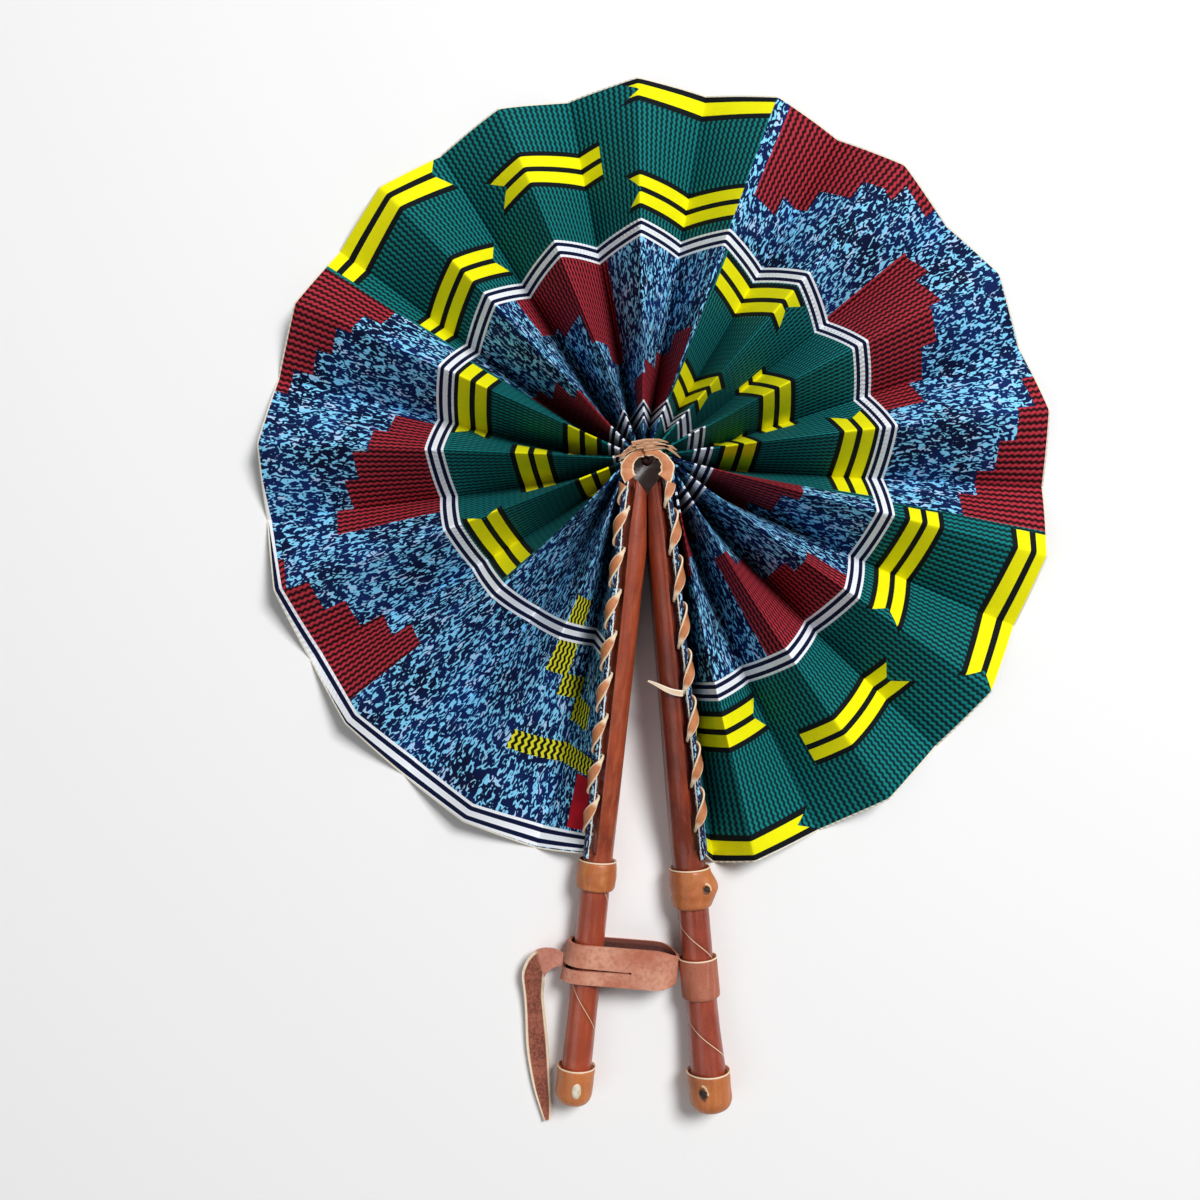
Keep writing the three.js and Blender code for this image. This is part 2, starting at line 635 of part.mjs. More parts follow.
// A flat loop from beside the right grip round the left grip, with a slit along its front.
function makeStrapLoop() {
  const s = STRAP_AT - STRAP_DROP;
  const left = guardPoint(LEFT, middle(LEFT, s), s, 0);
  const right = guardPoint(RIGHT, middle(RIGHT, STRAP_AT), STRAP_AT, 0);
  const low = LIFT - GAP;
  const high = LIFT + 2 * halfWidth(LEFT, s) + 2 * GAP;
  const from = left.x - halfWidth(LEFT, s) - STRAP_ROOM;
  const to = right.x - halfWidth(RIGHT, STRAP_AT) - 2 * STRAP_THICK - 4 * GAP;
  const outline = (grow) => {
    const radius = (high - low) / 2 + grow;
    const z = (high + low) / 2;
    const shape = [];
    for (const [x, start] of [[to + grow - radius, -90], [from - grow + radius, 90]]) {
      for (const angle of spread(start, start + 180, 10)) {
        shape.push(new THREE.Vector2(x + radius * Math.cos(rad(angle)), z + radius * Math.sin(rad(angle))));
      }
    }
    return shape;
  };
  const shape = new THREE.Shape(outline(STRAP_THICK));
  shape.holes.push(new THREE.Path(outline(0)));
  const band = new THREE.ExtrudeGeometry(shape, { depth: STRAP_WIDTH, bevelEnabled: false });
  const deep = (high - low) / 2 + 2 * STRAP_THICK;
  const slit = new THREE.BoxGeometry(STRAP_SLIT + STRAP_THICK, deep, STRAP_SLIT_WIDTH);
  const slitMiddle = from - STRAP_THICK + STRAP_SLIT / 2;
  slit.translate(slitMiddle, (high + low + deep) / 2, STRAP_WIDTH * STRAP_SLIT_SHARE);
  const loop = cut(band, slit);
  loop.translate(0, 0, -STRAP_WIDTH / 2);
  loop.rotateX(Math.PI / 2);
  loop.translate(-left.x, 0, 0);
  loop.rotateZ(rad(STRAP_TILT));
  loop.translate(left.x, left.y, 0);
  return { loop, end: new THREE.Vector3(from - STRAP_THICK, left.y, (high + low) / 2) };
}

// The free end of the strap: out of the loop to the left, folded over, and down to its point.
function makeStrapTail(start) {
  const outline = [[-1, -1], [1, -1], [1, 1], [-1, 1]].map(([x, y]) => new THREE.Vector2(x, y));
  return loft(STRAP_TAIL.map(([x, y, z, turn, width]) => {
    const centre = start.clone().add(new THREE.Vector3(x - GAP, y, z));
    const across = new THREE.Vector3(Math.cos(rad(turn)), Math.sin(rad(turn)), 0);
    const points = outline.map((corner) => centre.clone()
      .addScaledVector(across, corner.x * width / 2)
      .add(new THREE.Vector3(0, 0, corner.y * STRAP_THICK / 2)));
    return { points, outline };
  }));
}

// The whole fan

const fan = new THREE.Group();
fan.position.set(HUB_X, HUB_Y, 0);
const add = (name, geometry, colour) => fan.add(piece(name, geometry, colour));

const capTop = (guard) => LIFT + 2 * halfWidth(guard, guard.cap[1]) + GAP;
const capMiddle = (guard) => LIFT + halfWidth(guard, guard.cap[1]);
const pegHole = makePeg(LEFT, CAP_PEG.t, CAP_PEG.s, CAP_PEG.halfAcross + GAP, CAP_PEG.halfAlong + GAP,
  capMiddle(LEFT), PANEL);
const capHole = makePeg(RIGHT, CAP_HOLE.t, CAP_HOLE.s, CAP_HOLE.radius, CAP_HOLE.radius,
  capMiddle(RIGHT), PANEL);

add('left_stick_core', makeCore(LEFT), COLOURS.wood);
add('left_stick_sleeve', makeSleeve(LEFT), COLOURS.glossy);
add('left_collar', makeCollar(LEFT), COLOURS.tan);
add('left_grip', makeGrip(LEFT), COLOURS.glossy);
add('left_end_cap', cut(makeCap(LEFT), pegHole), COLOURS.tan);
add('left_cap_peg', makePeg(LEFT, CAP_PEG.t, CAP_PEG.s, CAP_PEG.halfAcross, CAP_PEG.halfAlong,
  capTop(LEFT) - BAND, capTop(LEFT) + BAND + GAP), COLOURS.horn);
add('left_cloth_hem', makeHem(LEFT), COLOURS.hem);
add('left_side_lace', makeLace(LEFT), COLOURS.lace);
add('left_end_panel', makeEndPanel(LEFT), COLOURS.blue);

add('right_stick_core', makeCore(RIGHT), COLOURS.wood);
add('right_stick_sleeve', makeSleeve(RIGHT), COLOURS.dark);
add('right_collar', makeCollar(RIGHT), COLOURS.tan);
add('right_grip', makeGrip(RIGHT), COLOURS.glossy);
add('right_end_cap', cut(makeCap(RIGHT), capHole), COLOURS.tan);
add('right_cloth_hem', makeHem(RIGHT), COLOURS.hem);
add('right_side_lace', makeLace(RIGHT), COLOURS.lace);
add('right_lace_end', makeLaceEnd(), COLOURS.lace);
add('right_end_panel', makeEndPanel(RIGHT), COLOURS.green);

const hubLaceHeight = PANEL + GAP + LACE_THICK / 2;
add('hub_lace_left', makeHubLace(180 - HUB_LACE_LOW, 90 - HUB_LACE_PAST, hubLaceHeight), COLOURS.lace);
add('hub_lace_right', makeHubLace(HUB_LACE_LOW, 90 + HUB_LACE_PAST, hubLaceHeight + LACE_THICK + GAP),
  COLOURS.lace);
add('hub_tie', makeHubTie(), COLOURS.lace);

const pleatColours = [COLOURS.blue, COLOURS.green, COLOURS.red];
for (let number = 1; number <= RIDGES; number += 1) {
  const label = String(number).padStart(2, '0');
  add(`pleat_${label}`, makePleat(number), pleatColours[number % pleatColours.length]);
}

const strap = makeStrapLoop();
add('strap_sleeve', makeStrapSleeve(), COLOURS.strap);
add('strap_loop', strap.loop, COLOURS.strap);
add('strap_tail', makeStrapTail(strap.end), COLOURS.strap);

export default fan;
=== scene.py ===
"""The looks of an open folding fan: printed pleated cloth laced between two leather-covered sticks."""

import json
import logging
import math
from collections.abc import Callable, Sequence
from dataclasses import dataclass, replace
from enum import Enum
from typing import Any

import bmesh
import bpy
from mathutils import Matrix, Vector, noise


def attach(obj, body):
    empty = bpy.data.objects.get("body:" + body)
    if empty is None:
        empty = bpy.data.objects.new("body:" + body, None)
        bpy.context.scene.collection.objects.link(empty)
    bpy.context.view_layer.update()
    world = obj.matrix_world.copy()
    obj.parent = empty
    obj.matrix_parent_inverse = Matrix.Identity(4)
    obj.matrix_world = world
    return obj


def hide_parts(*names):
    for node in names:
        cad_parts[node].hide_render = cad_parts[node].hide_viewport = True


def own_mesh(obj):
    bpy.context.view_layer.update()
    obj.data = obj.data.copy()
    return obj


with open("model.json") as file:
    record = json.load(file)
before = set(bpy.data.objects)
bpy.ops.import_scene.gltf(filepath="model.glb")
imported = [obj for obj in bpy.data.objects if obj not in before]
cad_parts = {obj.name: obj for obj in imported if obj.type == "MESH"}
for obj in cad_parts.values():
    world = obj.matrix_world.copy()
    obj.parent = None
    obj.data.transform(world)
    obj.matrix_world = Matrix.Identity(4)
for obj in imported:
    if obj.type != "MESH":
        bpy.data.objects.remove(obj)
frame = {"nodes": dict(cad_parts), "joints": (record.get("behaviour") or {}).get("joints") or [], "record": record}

LOG = logging.getLogger("fan")
MM = 0.001
UV_SURFACE = "Surface"  # the map that patterns follow
UV_EDGES = "Edges"  # distance from the rim and from the inner edge of the cloth
UV_STEP = 100.0  # millimetres or degrees to one unit of a map
ROLLED_SHARE = 0.06  # share of a band's length that its rolled edge takes up


def paint(code: str) -> tuple[float, float, float, float]:
    """Turn a written colour into the values that a shader takes.

    Args:
        code: The colour as it shows, as six hexadecimal digits.

    Returns:
        The linear red, green and blue, and full opacity.
    """
    shown = [int(code[i:i + 2], 16) / 255 for i in (0, 2, 4)]
    red, green, blue = (c / 12.92 if c <= 0.04045 else ((c + 0.055) / 1.055) ** 2.4 for c in shown)
    return red, green, blue, 1.0


def lerp(start: float, end: float, share: float) -> float:
    """Return the value at a share of the way between two values."""
    return start + (end - start) * share


def clamp(value: float, low: float = 0.0, high: float = 1.0) -> float:
    """Return the value, held between two limits."""
    return max(low, min(high, value))


def spread(start: float, end: float, steps: int) -> list[float]:
    """Return evenly spaced values from one to another, both included."""
    return [lerp(start, end, i / steps) for i in range(steps + 1)]


def along(pairs: Sequence[tuple[float, float]], place: float) -> float:
    """Read a value between listed points.

    Args:
        pairs: Places and their values, in rising order.
        place: Where the value is wanted.

    Returns:
        The straight-line value there, or the nearest end's.
    """
    if place <= pairs[0][0]:
        return pairs[0][1]
    for (low, start), (high, end) in zip(pairs, pairs[1:]):
        if place <= high:
            return lerp(start, end, (place - low) / (high - low))
    return pairs[-1][1]


def smooth_between(a: float, b: float, c: float, d: float, part: float) -> float:
    """Return a smooth value between b and c, with a and d as the neighbours."""
    return 0.5 * (2 * b + (c - a) * part + (2 * a - 5 * b + 4 * c - d) * part ** 2
                  + (3 * b - a - 3 * c + d) * part ** 3)


def round_map(turn: float, s: float) -> tuple[float, float]:
    """Return the share of a turn, in hundredths, and the place down the stick."""
    return 100 * turn / (2 * math.pi), s


def rolled_edge(share: float, depth: float) -> float:
    """Return how far a band's surface sinks at its rolled edges, from the share of its length."""
    return -depth * (1 - min(1.0, min(share, 1 - share) / ROLLED_SHARE)) ** 2


# Materials


class Number:
    """A number that changes over a surface, with Python's own operators."""

    def __init__(self, graph: "Graph", socket: bpy.types.NodeSocket) -> None:
        """Keep the socket that gives the number and the graph it is in."""
        self.graph = graph
        self.socket = socket

    def math(self, operation: str, *others: "Number | float") -> "Number":
        """Return what one Math node makes of this number and the others."""
        return self.graph.math(operation, self, *others)

    def __add__(self, other: "Number | float") -> "Number":
        """Add."""
        return self.math("ADD", other)

    __radd__ = __add__

    def __sub__(self, other: "Number | float") -> "Number":
        """Subtract."""
        return self.math("SUBTRACT", other)

    def __rsub__(self, other: "Number | float") -> "Number":
        """Subtract this number from another."""
        return self.graph.math("SUBTRACT", other, self)

    def __mul__(self, other: "Number | float") -> "Number":
        """Multiply."""
        return self.math("MULTIPLY", other)

    __rmul__ = __mul__

    def __truediv__(self, other: "Number | float") -> "Number":
        """Divide."""
        return self.math("DIVIDE", other)

    def __abs__(self) -> "Number":
        """Take the size without its sign."""
        return self.math("ABSOLUTE")

    def __gt__(self, other: "Number | float") -> "Number":
        """Return 1 where this number is the larger."""
        return self.math("GREATER_THAN", other)

    def __lt__(self, other: "Number | float") -> "Number":
        """Return 1 where this number is the smaller."""
        return self.math("LESS_THAN", other)

    def __or__(self, other: "Number | float") -> "Number":
        """Join two masks."""
        return self.math("MAXIMUM", other)

    def __and__(self, other: "Number | float") -> "Number":
        """Keep what two masks share."""
        return self.math("MINIMUM", other)

    def within(self, low: float, high: float) -> "Number":
        """Return 1 between two limits."""
        return self.math("COMPARE", (low + high) / 2, (high - low) / 2)

    def stepped(self, middle: float, soft: float) -> "Number":
        """Return a mask that rises from 0 to 1 round a value, over a soft width."""
        rise = (self - (middle - soft / 2)) / soft
        rise.socket.node.use_clamp = True
        return rise


def joined(masks: Sequence[Number]) -> Number:
    """Join masks into one."""
    whole = masks[0]
    for mask in masks[1:]:
        whole = whole | mask
    return whole


class Graph:
    """The nodes of one material."""

    def __init__(self, name: str) -> None:
        """Start a material with its principled shader."""
        self.material = bpy.data.materials.new(name)
        self.material.use_nodes = True
        self.tree = self.material.node_tree
        self.shader = self.tree.nodes["Principled BSDF"]

    def feed(self, socket: bpy.types.NodeSocket, value: Any) -> None:
        """Give a socket its value, or its link where the value is a socket."""
        if isinstance(value, Number):
            value = value.socket
        if isinstance(value, bpy.types.NodeSocket):
            self.tree.links.new(value, socket)
        else:
            socket.default_value = value

    def node(self, kind: str, settings: dict[str, Any], values: dict[str | int, Any]) -> bpy.types.Node:
        """Add a node.

        Args:
            kind: The node's type.
            settings: What to set on the node itself, before its sockets.
            values: The value or link of each input socket, by name or number.

        Returns:
            The new node.
        """
        made = self.tree.nodes.new(kind)
        for key, value in settings.items():
            setattr(made, key, value)
        for key, value in values.items():
            self.feed(made.inputs[key], value)
        return made

    def math(self, operation: str, *values: Number | float) -> Number:
        """Add a Math node for an operation and return its result."""
        made = self.node("ShaderNodeMath", {"operation": operation}, dict(enumerate(values)))
        return Number(self, made.outputs[0])

    def mix(self, factor: Number | float, first: Any, second: Any) -> bpy.types.NodeSocket:
        """Mix two colours by a factor, which is 1 where only the second shows."""
        return self.node("ShaderNodeMix", {"data_type": "RGBA"}, {0: factor, 6: first, 7: second}).outputs[2]

    def split(self, vector: bpy.types.NodeSocket) -> tuple[Number, Number, Number]:
        """Return the three numbers of a vector."""
        made = self.node("ShaderNodeSeparateXYZ", {}, {0: vector})
        return Number(self, made.outputs[0]), Number(self, made.outputs[1]), Number(self, made.outputs[2])

    def join(self, x: Number | float, y: Number | float, z: Number | float = 0.0) -> bpy.types.NodeSocket:
        """Return the vector of three numbers."""
        return self.node("ShaderNodeCombineXYZ", {}, {0: x, 1: y, 2: z}).outputs[0]

    def place(self) -> bpy.types.NodeSocket:
        """Return the place on the fan, in metres."""
        return self.node("ShaderNodeTexCoord", {}, {}).outputs["Object"]

    def surface(self, name: str) -> tuple[Number, Number]:
        """Return a map's two numbers, in millimetres or degrees."""
        made = self.node("ShaderNodeUVMap", {"uv_map": name}, {})
        across, down, _ = self.split(made.outputs[0])
        return across * UV_STEP, down * UV_STEP

    def noise(self, vector: bpy.types.NodeSocket, scale: float, detail: float = 2.0,
              distortion: float = 0.0) -> Number:
        """Return a noise pattern.

        Args:
            vector: The place that the pattern follows.
            scale: How fine it is.
            detail: How many finer layers it has.
            distortion: How far it is bent.

        Returns:
            The pattern, from 0 to 1.
        """
        values = {"Vector": vector, "Scale": scale, "Detail": detail, "Distortion": distortion}
        return Number(self, self.node("ShaderNodeTexNoise", {}, values).outputs[0])

    def stretched(self, vector: bpy.types.NodeSocket, scale: tuple[float, float, float],
                  turn: float = 0.0) -> bpy.types.NodeSocket:
        """Return a place turned about the upright and scaled along each axis."""
        values = {"Vector": vector, "Rotation": (0.0, 0.0, turn), "Scale": scale}
        return self.node("ShaderNodeMapping", {"vector_type": "TEXTURE"}, values).outputs[0]

    def bump(self, height: Number, depth: float) -> None:
        """Raise the surface by a pattern, depth metres high."""
        values = {"Height": height, "Distance": depth, "Strength": 1.0}
        self.feed(self.shader.inputs["Normal"], self.node("ShaderNodeBump", {}, values).outputs[0])

    def dress(self, **values: Any) -> bpy.types.Material:
        """Set the shader's sockets, whose names have spaces for underscores, and return the material."""
        for key, value in values.items():
            self.feed(self.shader.inputs[key.replace("_", " ")], value)
        return self.material


class Slot(Enum):
    """The record's material slots."""

    CORE = "core_wood"
    GLOSSY = "glossy_leather"
    DARK = "dark_leather"
    TAN = "tan_leather"
    LACE = "lace_leather"
    HORN = "peg_horn"
    STRAP = "strap_leather"
    PRINT = "print_cloth"
    HEM = "hem_cloth"


@dataclass(frozen=True)
class Leather:
    """Smooth leather with a fine grain, cloudy colour, and long rubbed streaks."""

    name: str
    slot: Slot
    base: str
    deep: str
    rubbed: str
    roughness: float = 0.34
    coat: float = 0.5
    turn: float = 0.0
    grain_depth: float = 0.00012
    coat_roughness: float = 0.2
    thread: str = "f1cfa6"
    seam_turns: float = 0.0  # millimetres along the stick for one turn of the wrapped edge, by its sense
    seam_start: float = 0.0
    seam_width: float = 0.4
    dimple: tuple[float, float, float] | None = None  # hundredths round, millimetres down, and radius
    round_about: float = 52.0  # millimetres once round the leather, where it has a dimple

    def make(self) -> bpy.types.Material:
        """Build the material and return it."""
        graph = Graph(self.name)
        place = graph.place()
        clouds = graph.noise(place, 55.0, 4.0, 0.4).stepped(0.52, 0.34)
        lengthwise = graph.stretched(place, (1.0, 9.0, 1.0), self.turn)
        streaks = graph.noise(lengthwise, 620.0, 3.0).stepped(0.6, 0.3)
        pores = graph.noise(place, 1500.0, 2.0)
        creases = graph.noise(place, 420.0, 3.0, 1.2)
        colour = graph.mix(clouds * 0.75, paint(self.base), paint(self.deep))
        colour = graph.mix(streaks * 0.35, colour, paint(self.rubbed))
        colour = graph.mix(pores.stepped(0.42, 0.2) * -0.25 + 0.25, colour, paint(self.deep))
        height = pores * 0.6 + creases * 0.8
        if self.seam_turns:
            around, down = graph.surface(UV_SURFACE)
            turned = (around / 100.0 - (down - self.seam_start) / self.seam_turns).math("FRACT")
            away = abs(turned - 0.5) * abs(self.seam_turns)
            colour = graph.mix(away.stepped(1.6, 2.4) * -0.45 + 0.45, colour, paint(self.deep))
            colour = graph.mix(away < self.seam_width / 2, colour, paint(self.thread))
            height = height + (away < self.seam_width) * 2.0
        if self.dimple:
            around, down = graph.surface(UV_SURFACE)
            right = (around - self.dimple[0]) * (-self.round_about / 100.0)
            below = down - self.dimple[1]
            ragged = (creases - 0.5) * 1.2
            away = ((right * right + below * below * 0.5).math("SQRT") + ragged) / self.dimple[2]
            scar = away.within(1.25, 1.7) & (right > 0.0) & (below < 0.4)
            colour = graph.mix(scar, colour, paint(self.thread))
            # The dimple's dark middle is painted shade of a hollow: the hole in the right cap and the knot's
            # dimple on the right collar are painted and bumped here, not cut in the mesh.
            colour = graph.mix(1.0 - away.stepped(1.05, 0.7), colour, paint("1c0a06"))
            height = height + away.stepped(1.0, 0.9) * 6.0
        graph.bump(height, self.grain_depth)
        rough = self.roughness + clouds * 0.14 + (1.0 - pores) * 0.06
        return graph.dress(Base_Color=colour, Roughness=rough, Coat_Weight=self.coat,
                           Coat_Roughness=self.coat_roughness, Specular_IOR_Level=0.45)


@dataclass(frozen=True)
class Thong:
    """A narrow strip cut from leather: a coloured top and paler cut edges."""

    name: str
    slot: Slot
    top: str
    deep: str
    edge: str
    edge_from: float = 0.72  # share of the half width where the cut edge starts
    roughness: float = 0.55
    tip: float = 0.0  # where in a turn round the hem the pale narrow tip lies, where it has one

    def make(self) -> bpy.types.Material:
        """Build the material and return it."""
        graph = Graph(self.name)
        across, down = graph.surface(UV_SURFACE)
        place = graph.place()
        cloud = graph.noise(place, 260.0, 3.0)
        fibre = graph.noise(place, 1400.0, 3.0)
        colour = graph.mix(cloud.stepped(0.5, 0.3) * 0.6, paint(self.top), paint(self.deep))
        rim = abs(across / 50.0 - 1.0) + (fibre - 0.5) * 0.25
        pale = rim.stepped(self.edge_from, 0.16)
        if self.tip:
            away = abs((down / 100.0).math("FRACT") - self.tip)
            pale = pale | (1.0 - away.stepped(0.08, 0.06))
        colour = graph.mix(pale, colour, paint(self.edge))
        graph.bump(fibre + cloud, 0.00015)
        return graph.dress(Base_Color=colour, Roughness=self.roughness + fibre * 0.15)


NO_FOLD = 1e6  # a strap's smooth side shows all along


@dataclass(frozen=True)
class Flesh:
    """Strap leather: a smooth pinkish side, and a rough flesh side beyond a fold."""

    name: str
    slot: Slot
    smooth: str
    rosy: str
    rough: str
    dark: str
    edge: str
    fold: float  # millimetres along the strip where the rough side starts to show

    def make(self) -> bpy.types.Material:
        """Build the material and return it."""
        graph = Graph(self.name)
        across, down = graph.surface(UV_SURFACE)
        place = graph.place()
        cloud = graph.noise(place, 90.0, 4.0)
        nap = graph.noise(place, 900.0, 4.0)
        spots = graph.noise(place, 620.0, 3.0).stepped(0.55, 0.2)
        front = graph.mix(cloud.stepped(0.5, 0.3), paint(self.smooth), paint(self.rosy))
        front = graph.mix(spots * 0.4, front, paint(self.rough))
        back = graph.mix((nap * 0.6 + cloud * 0.4).stepped(0.5, 0.22), paint(self.rough), paint(self.dark))
        beyond = down.stepped(self.fold, 2.0)
        colour = graph.mix(beyond, front, back)
        rim = (abs(across / 50.0 - 1.0) + (nap - 0.5) * 0.1).stepped(0.8, 0.1) & beyond
        colour = graph.mix(rim, colour, paint(self.edge))
        graph.bump(nap + cloud, 0.00025)
        return graph.dress(Base_Color=colour, Roughness=0.62 + nap * 0.25)


class Notch(Enum):
    """Which end of a printed bar is cut like a fish's tail."""

    NONE = 0
    START = -1
    END = 1


class Base(Enum):
    """What a printed motif is measured from."""

    BAND = "the stripe band"
    RIM = "the rim"


@dataclass(frozen=True)
class Steps:
    """A red block with stairs: its reach changes step by step round the fan."""

    start: float
    end: float
    reaches: tuple[tuple[float, float], ...]  # lowest and highest of each step, in millimetres
    base: Base = Base.BAND


@dataclass(frozen=True)
class Bars:
    """Yellow bars with black outlines, one or two side by side."""

    start: float
    end: float
    middle: float
    notch: Notch
    twin: bool = True
    base: Base = Base.BAND


RED_STEPS = (
    Steps(80.5, 107.0, ((-1, 38), (-1, 30), (-1, 21), (-1, 13), (-1, 5)), Base.RIM),
    Steps(109.0, 136.5, ((0, 46), (0, 39), (0, 33), (0, 26), (0, 20))),
    Steps(136.0, 158.5, ((-1, 5), (-1, 12), (-1, 18), (-1, 24), (-1, 31)), Base.RIM),
    Steps(0.0, 17.0, ((-72, -33), (-72, -40), (-72, -50))),
    Steps(20.5, 48.5, ((-22, 0), (-27, 0), (-40, 0), (-47, 0))),
    Steps(52.0, 78.0, ((-72, -58), (-72, -52), (-72, -45), (-72, -38))),
)
YELLOW_BARS = (
    Bars(0.5, 25.0, 5.5, Notch.END, base=Base.RIM),
    Bars(0.5, 25.0, 16.0, Notch.END),
    Bars(29.0, 50.5, 36.0, Notch.START),
    Bars(54.5, 78.5, 5.0, Notch.START, twin=False, base=Base.RIM),
    Bars(54.5, 78.5, 16.0, Notch.START),
    Bars(80.0, 104.0, -12.5, Notch.END),
    Bars(108.5, 133.5, -37.5, Notch.NONE),
    Bars(134.0, 157.5, -11.5, Notch.START),
    Bars(80.0, 105.0, -58.0, Notch.END),
    Bars(129.0, 152.0, -58.0, Notch.START),
)


HATCHED_PATCHES = (  # first and last degree round the fan, lowest and highest millimetre from the hub
    (2.0, 27.0, 117.0, 125.0),
    (10.0, 17.0, 98.0, 108.0),
    (16.0, 22.0, 90.0, 99.0),
    (21.0, 27.0, 60.0, 91.0),
)
RED_PATCH = ((-20.0, 10.2), (126.0, 150.0))  # degrees, and millimetres from the hub


@dataclass(frozen=True)
class PrintedCloth:
    """Cotton with a common geometric print: stripe bands over a chequer of blue and green grounds."""

    name: str = "printed_cloth"
    slot: Slot = Slot.PRINT
    repeat: float = 158.5  # degrees round the fan
    seam: float = 121.5  # where a repeat starts
    squeeze: float = 0.11  # before the first repeat the print runs tighter
    edge_block: float = 50.0  # up to here the grounds are all blue
    band_start: float = 72.0  # the band's distance from the hub, and how it drifts outwards
    band_drift: float = 50.0
    band_turn: float = -28.0
    band_inner: float = 72.5  # the next band, towards the hub
    band_outer: float = 4.8  # the outer band's distance from the rim, which it crosses near outer_end
    outer_end: float = 90.0
    outer_drift: float = 8.4
    strip_rate: float = 3.02  # millimetres along the strip for one degree
    bar_gap: float = 1.15
    bar_width: float = 4.9
    bar_line: float = 2.1
    notch: float = 3.0
    band_half: float = 3.7  # half a stripe band's width, its white core and its white edge
    band_core: float = 1.05
    band_edge: float = 2.65
    raw_rim: float = 0.55  # the pale cut edges at the rim and at the hub
    raw_hub: float = 0.6
    green_pitch: float = 2.5
    red_pitch: float = 2.7
    hatch_pitch: float = 3.8
    hatch_bend: float = 1.5
    hatch_sway: float = 0.9

    def make(self) -> bpy.types.Material:
        """Build the material and return it."""
        graph = Graph(self.name)
        angle, reach = graph.surface(UV_SURFACE)
        rim, hub = graph.surface(UV_EDGES)
        strip = angle * self.strip_rate
        drift = (angle - 8.0) / 344.0
        band = self.band_start + drift * self.band_drift + drift * drift * self.band_turn
        height = reach - band
        before = (self.seam - angle).math("MAXIMUM", 0.0)
        turn = (angle - before * self.squeeze - self.seam).math("WRAP", self.repeat, 0.0)

        blue = self.speckle(graph, strip, reach)
        green, green_rib = self.ribbed(graph, strip, reach, self.green_pitch, "01262a", "0a7f80")
        red, red_rib = self.ribbed(graph, strip, reach, self.red_pitch, "26050c", "b5303e")
        outer = height > 0.0
        first = turn < self.repeat / 2
        inside = angle > self.edge_block
        is_green = (1.0 - abs(outer - first)) & inside
        border = 1.0 - (abs(turn - self.repeat / 2) - 1.0).stepped(0.0, 0.2)
        is_green = is_green & (1.0 - (border & outer))
        reds = self.red_mask(turn, height, rim) & inside
        patch = angle.within(*RED_PATCH[0]) & reach.within(*RED_PATCH[1])
        colour = graph.mix(is_green, blue, green)
        colour = graph.mix(reds, colour, red)
        colour = graph.mix(patch, colour, paint("b01424"))
        bars, yellow = self.bar_masks(turn, height, rim)
        bars = bars & is_green
        colour = graph.mix(bars, colour, paint("0b1216"))
        colour = graph.mix(yellow & bars, colour, graph.mix(
            graph.noise(graph.place(), 300.0).stepped(0.5, 0.6) * 0.3, paint("f8f406"), paint("e6de08")))
        hatch, hatch_line = self.hatch(angle, reach, strip)
        colour = graph.mix(hatch, colour, paint("10130c"))
        colour = graph.mix(hatch & hatch_line, colour, paint("e2de2c"))
        stripes, white = self.band_masks(angle, height, rim)
        colour = graph.mix(stripes, colour, paint("071238"))
        colour = graph.mix(stripes & white, colour, paint("f5f9ff"))
        raw = (rim < self.raw_rim) | (hub < self.raw_hub)
        colour = graph.mix(raw, colour, paint("e9e2cf"))

        weave = graph.noise(graph.join(strip * 2.2, reach * 2.2), 1.0, 2.0)
        ribs = (green_rib * is_green) | (red_rib * reds)
        relief = weave * 0.4 + ribs * (1.0 - bars) * 0.8
        graph.bump(relief, 0.0003)
        return graph.dress(Base_Color=colour, Roughness=0.85, Specular_IOR_Level=0.15)

    def speckle(self, graph: Graph, strip: Number, reach: Number) -> bpy.types.NodeSocket:
        """Paint the blue ground: pale squiggles on navy.

        Args:
            graph: The material's nodes.
            strip: The place along the strip, in millimetres.
            reach: The distance from the hub, in millimetres.

        Returns:
            The socket of its colour.
        """
        squiggle = graph.noise(graph.join(strip / 1.6, reach / 3.0), 1.0, 0.5, 1.1)
        patch = graph.noise(graph.join(strip / 22.0, reach / 22.0), 1.0, 1.0)
        mark = (squiggle + (patch - 0.5) * 0.1).stepped(0.566, 0.05)
        tint = graph.noise(graph.join(strip / 5.0, reach / 9.0, 9.0), 1.0, 1.0).stepped(0.6, 0.1)
        pale = graph.mix(tint * 0.6, paint("86d8ff"), paint("c6d8fb"))
        ground = graph.mix(patch.stepped(0.5, 0.3), paint("040f34"), paint("0b2560"))
        return graph.mix(mark, ground, pale)

    def ribbed(self, graph: Graph, strip: Number, reach: Number, pitch: float, groove: str,
               crest: str) -> tuple[bpy.types.NodeSocket, Number]:
        """Paint a ribbed ground whose ribs run from hub to rim in small zigzags.

        Args:
            graph: The material's nodes.
            strip: The place along the strip, in millimetres.
            reach: The distance from the hub, in millimetres.
            pitch: The width of one rib, in millimetres.
            groove: The colour between ribs.
            crest: The colour on top of a rib.

        Returns:
            The socket of the colour, and the ribs' height from 0 to 1.
        """
        zigzag = reach.math("PINGPONG", pitch / 2) * 0.5
        wave = ((strip + zigzag) * (2 * math.pi / pitch)).math("SINE") * 0.5 + 0.5
        dots = (reach * (2 * math.pi / pitch)).math("SINE") * 0.5 + 0.5
        rib = wave * (dots * 0.35 + 0.65)
        return graph.mix(rib.stepped(0.45, 0.5), paint(groove), paint(crest)), rib

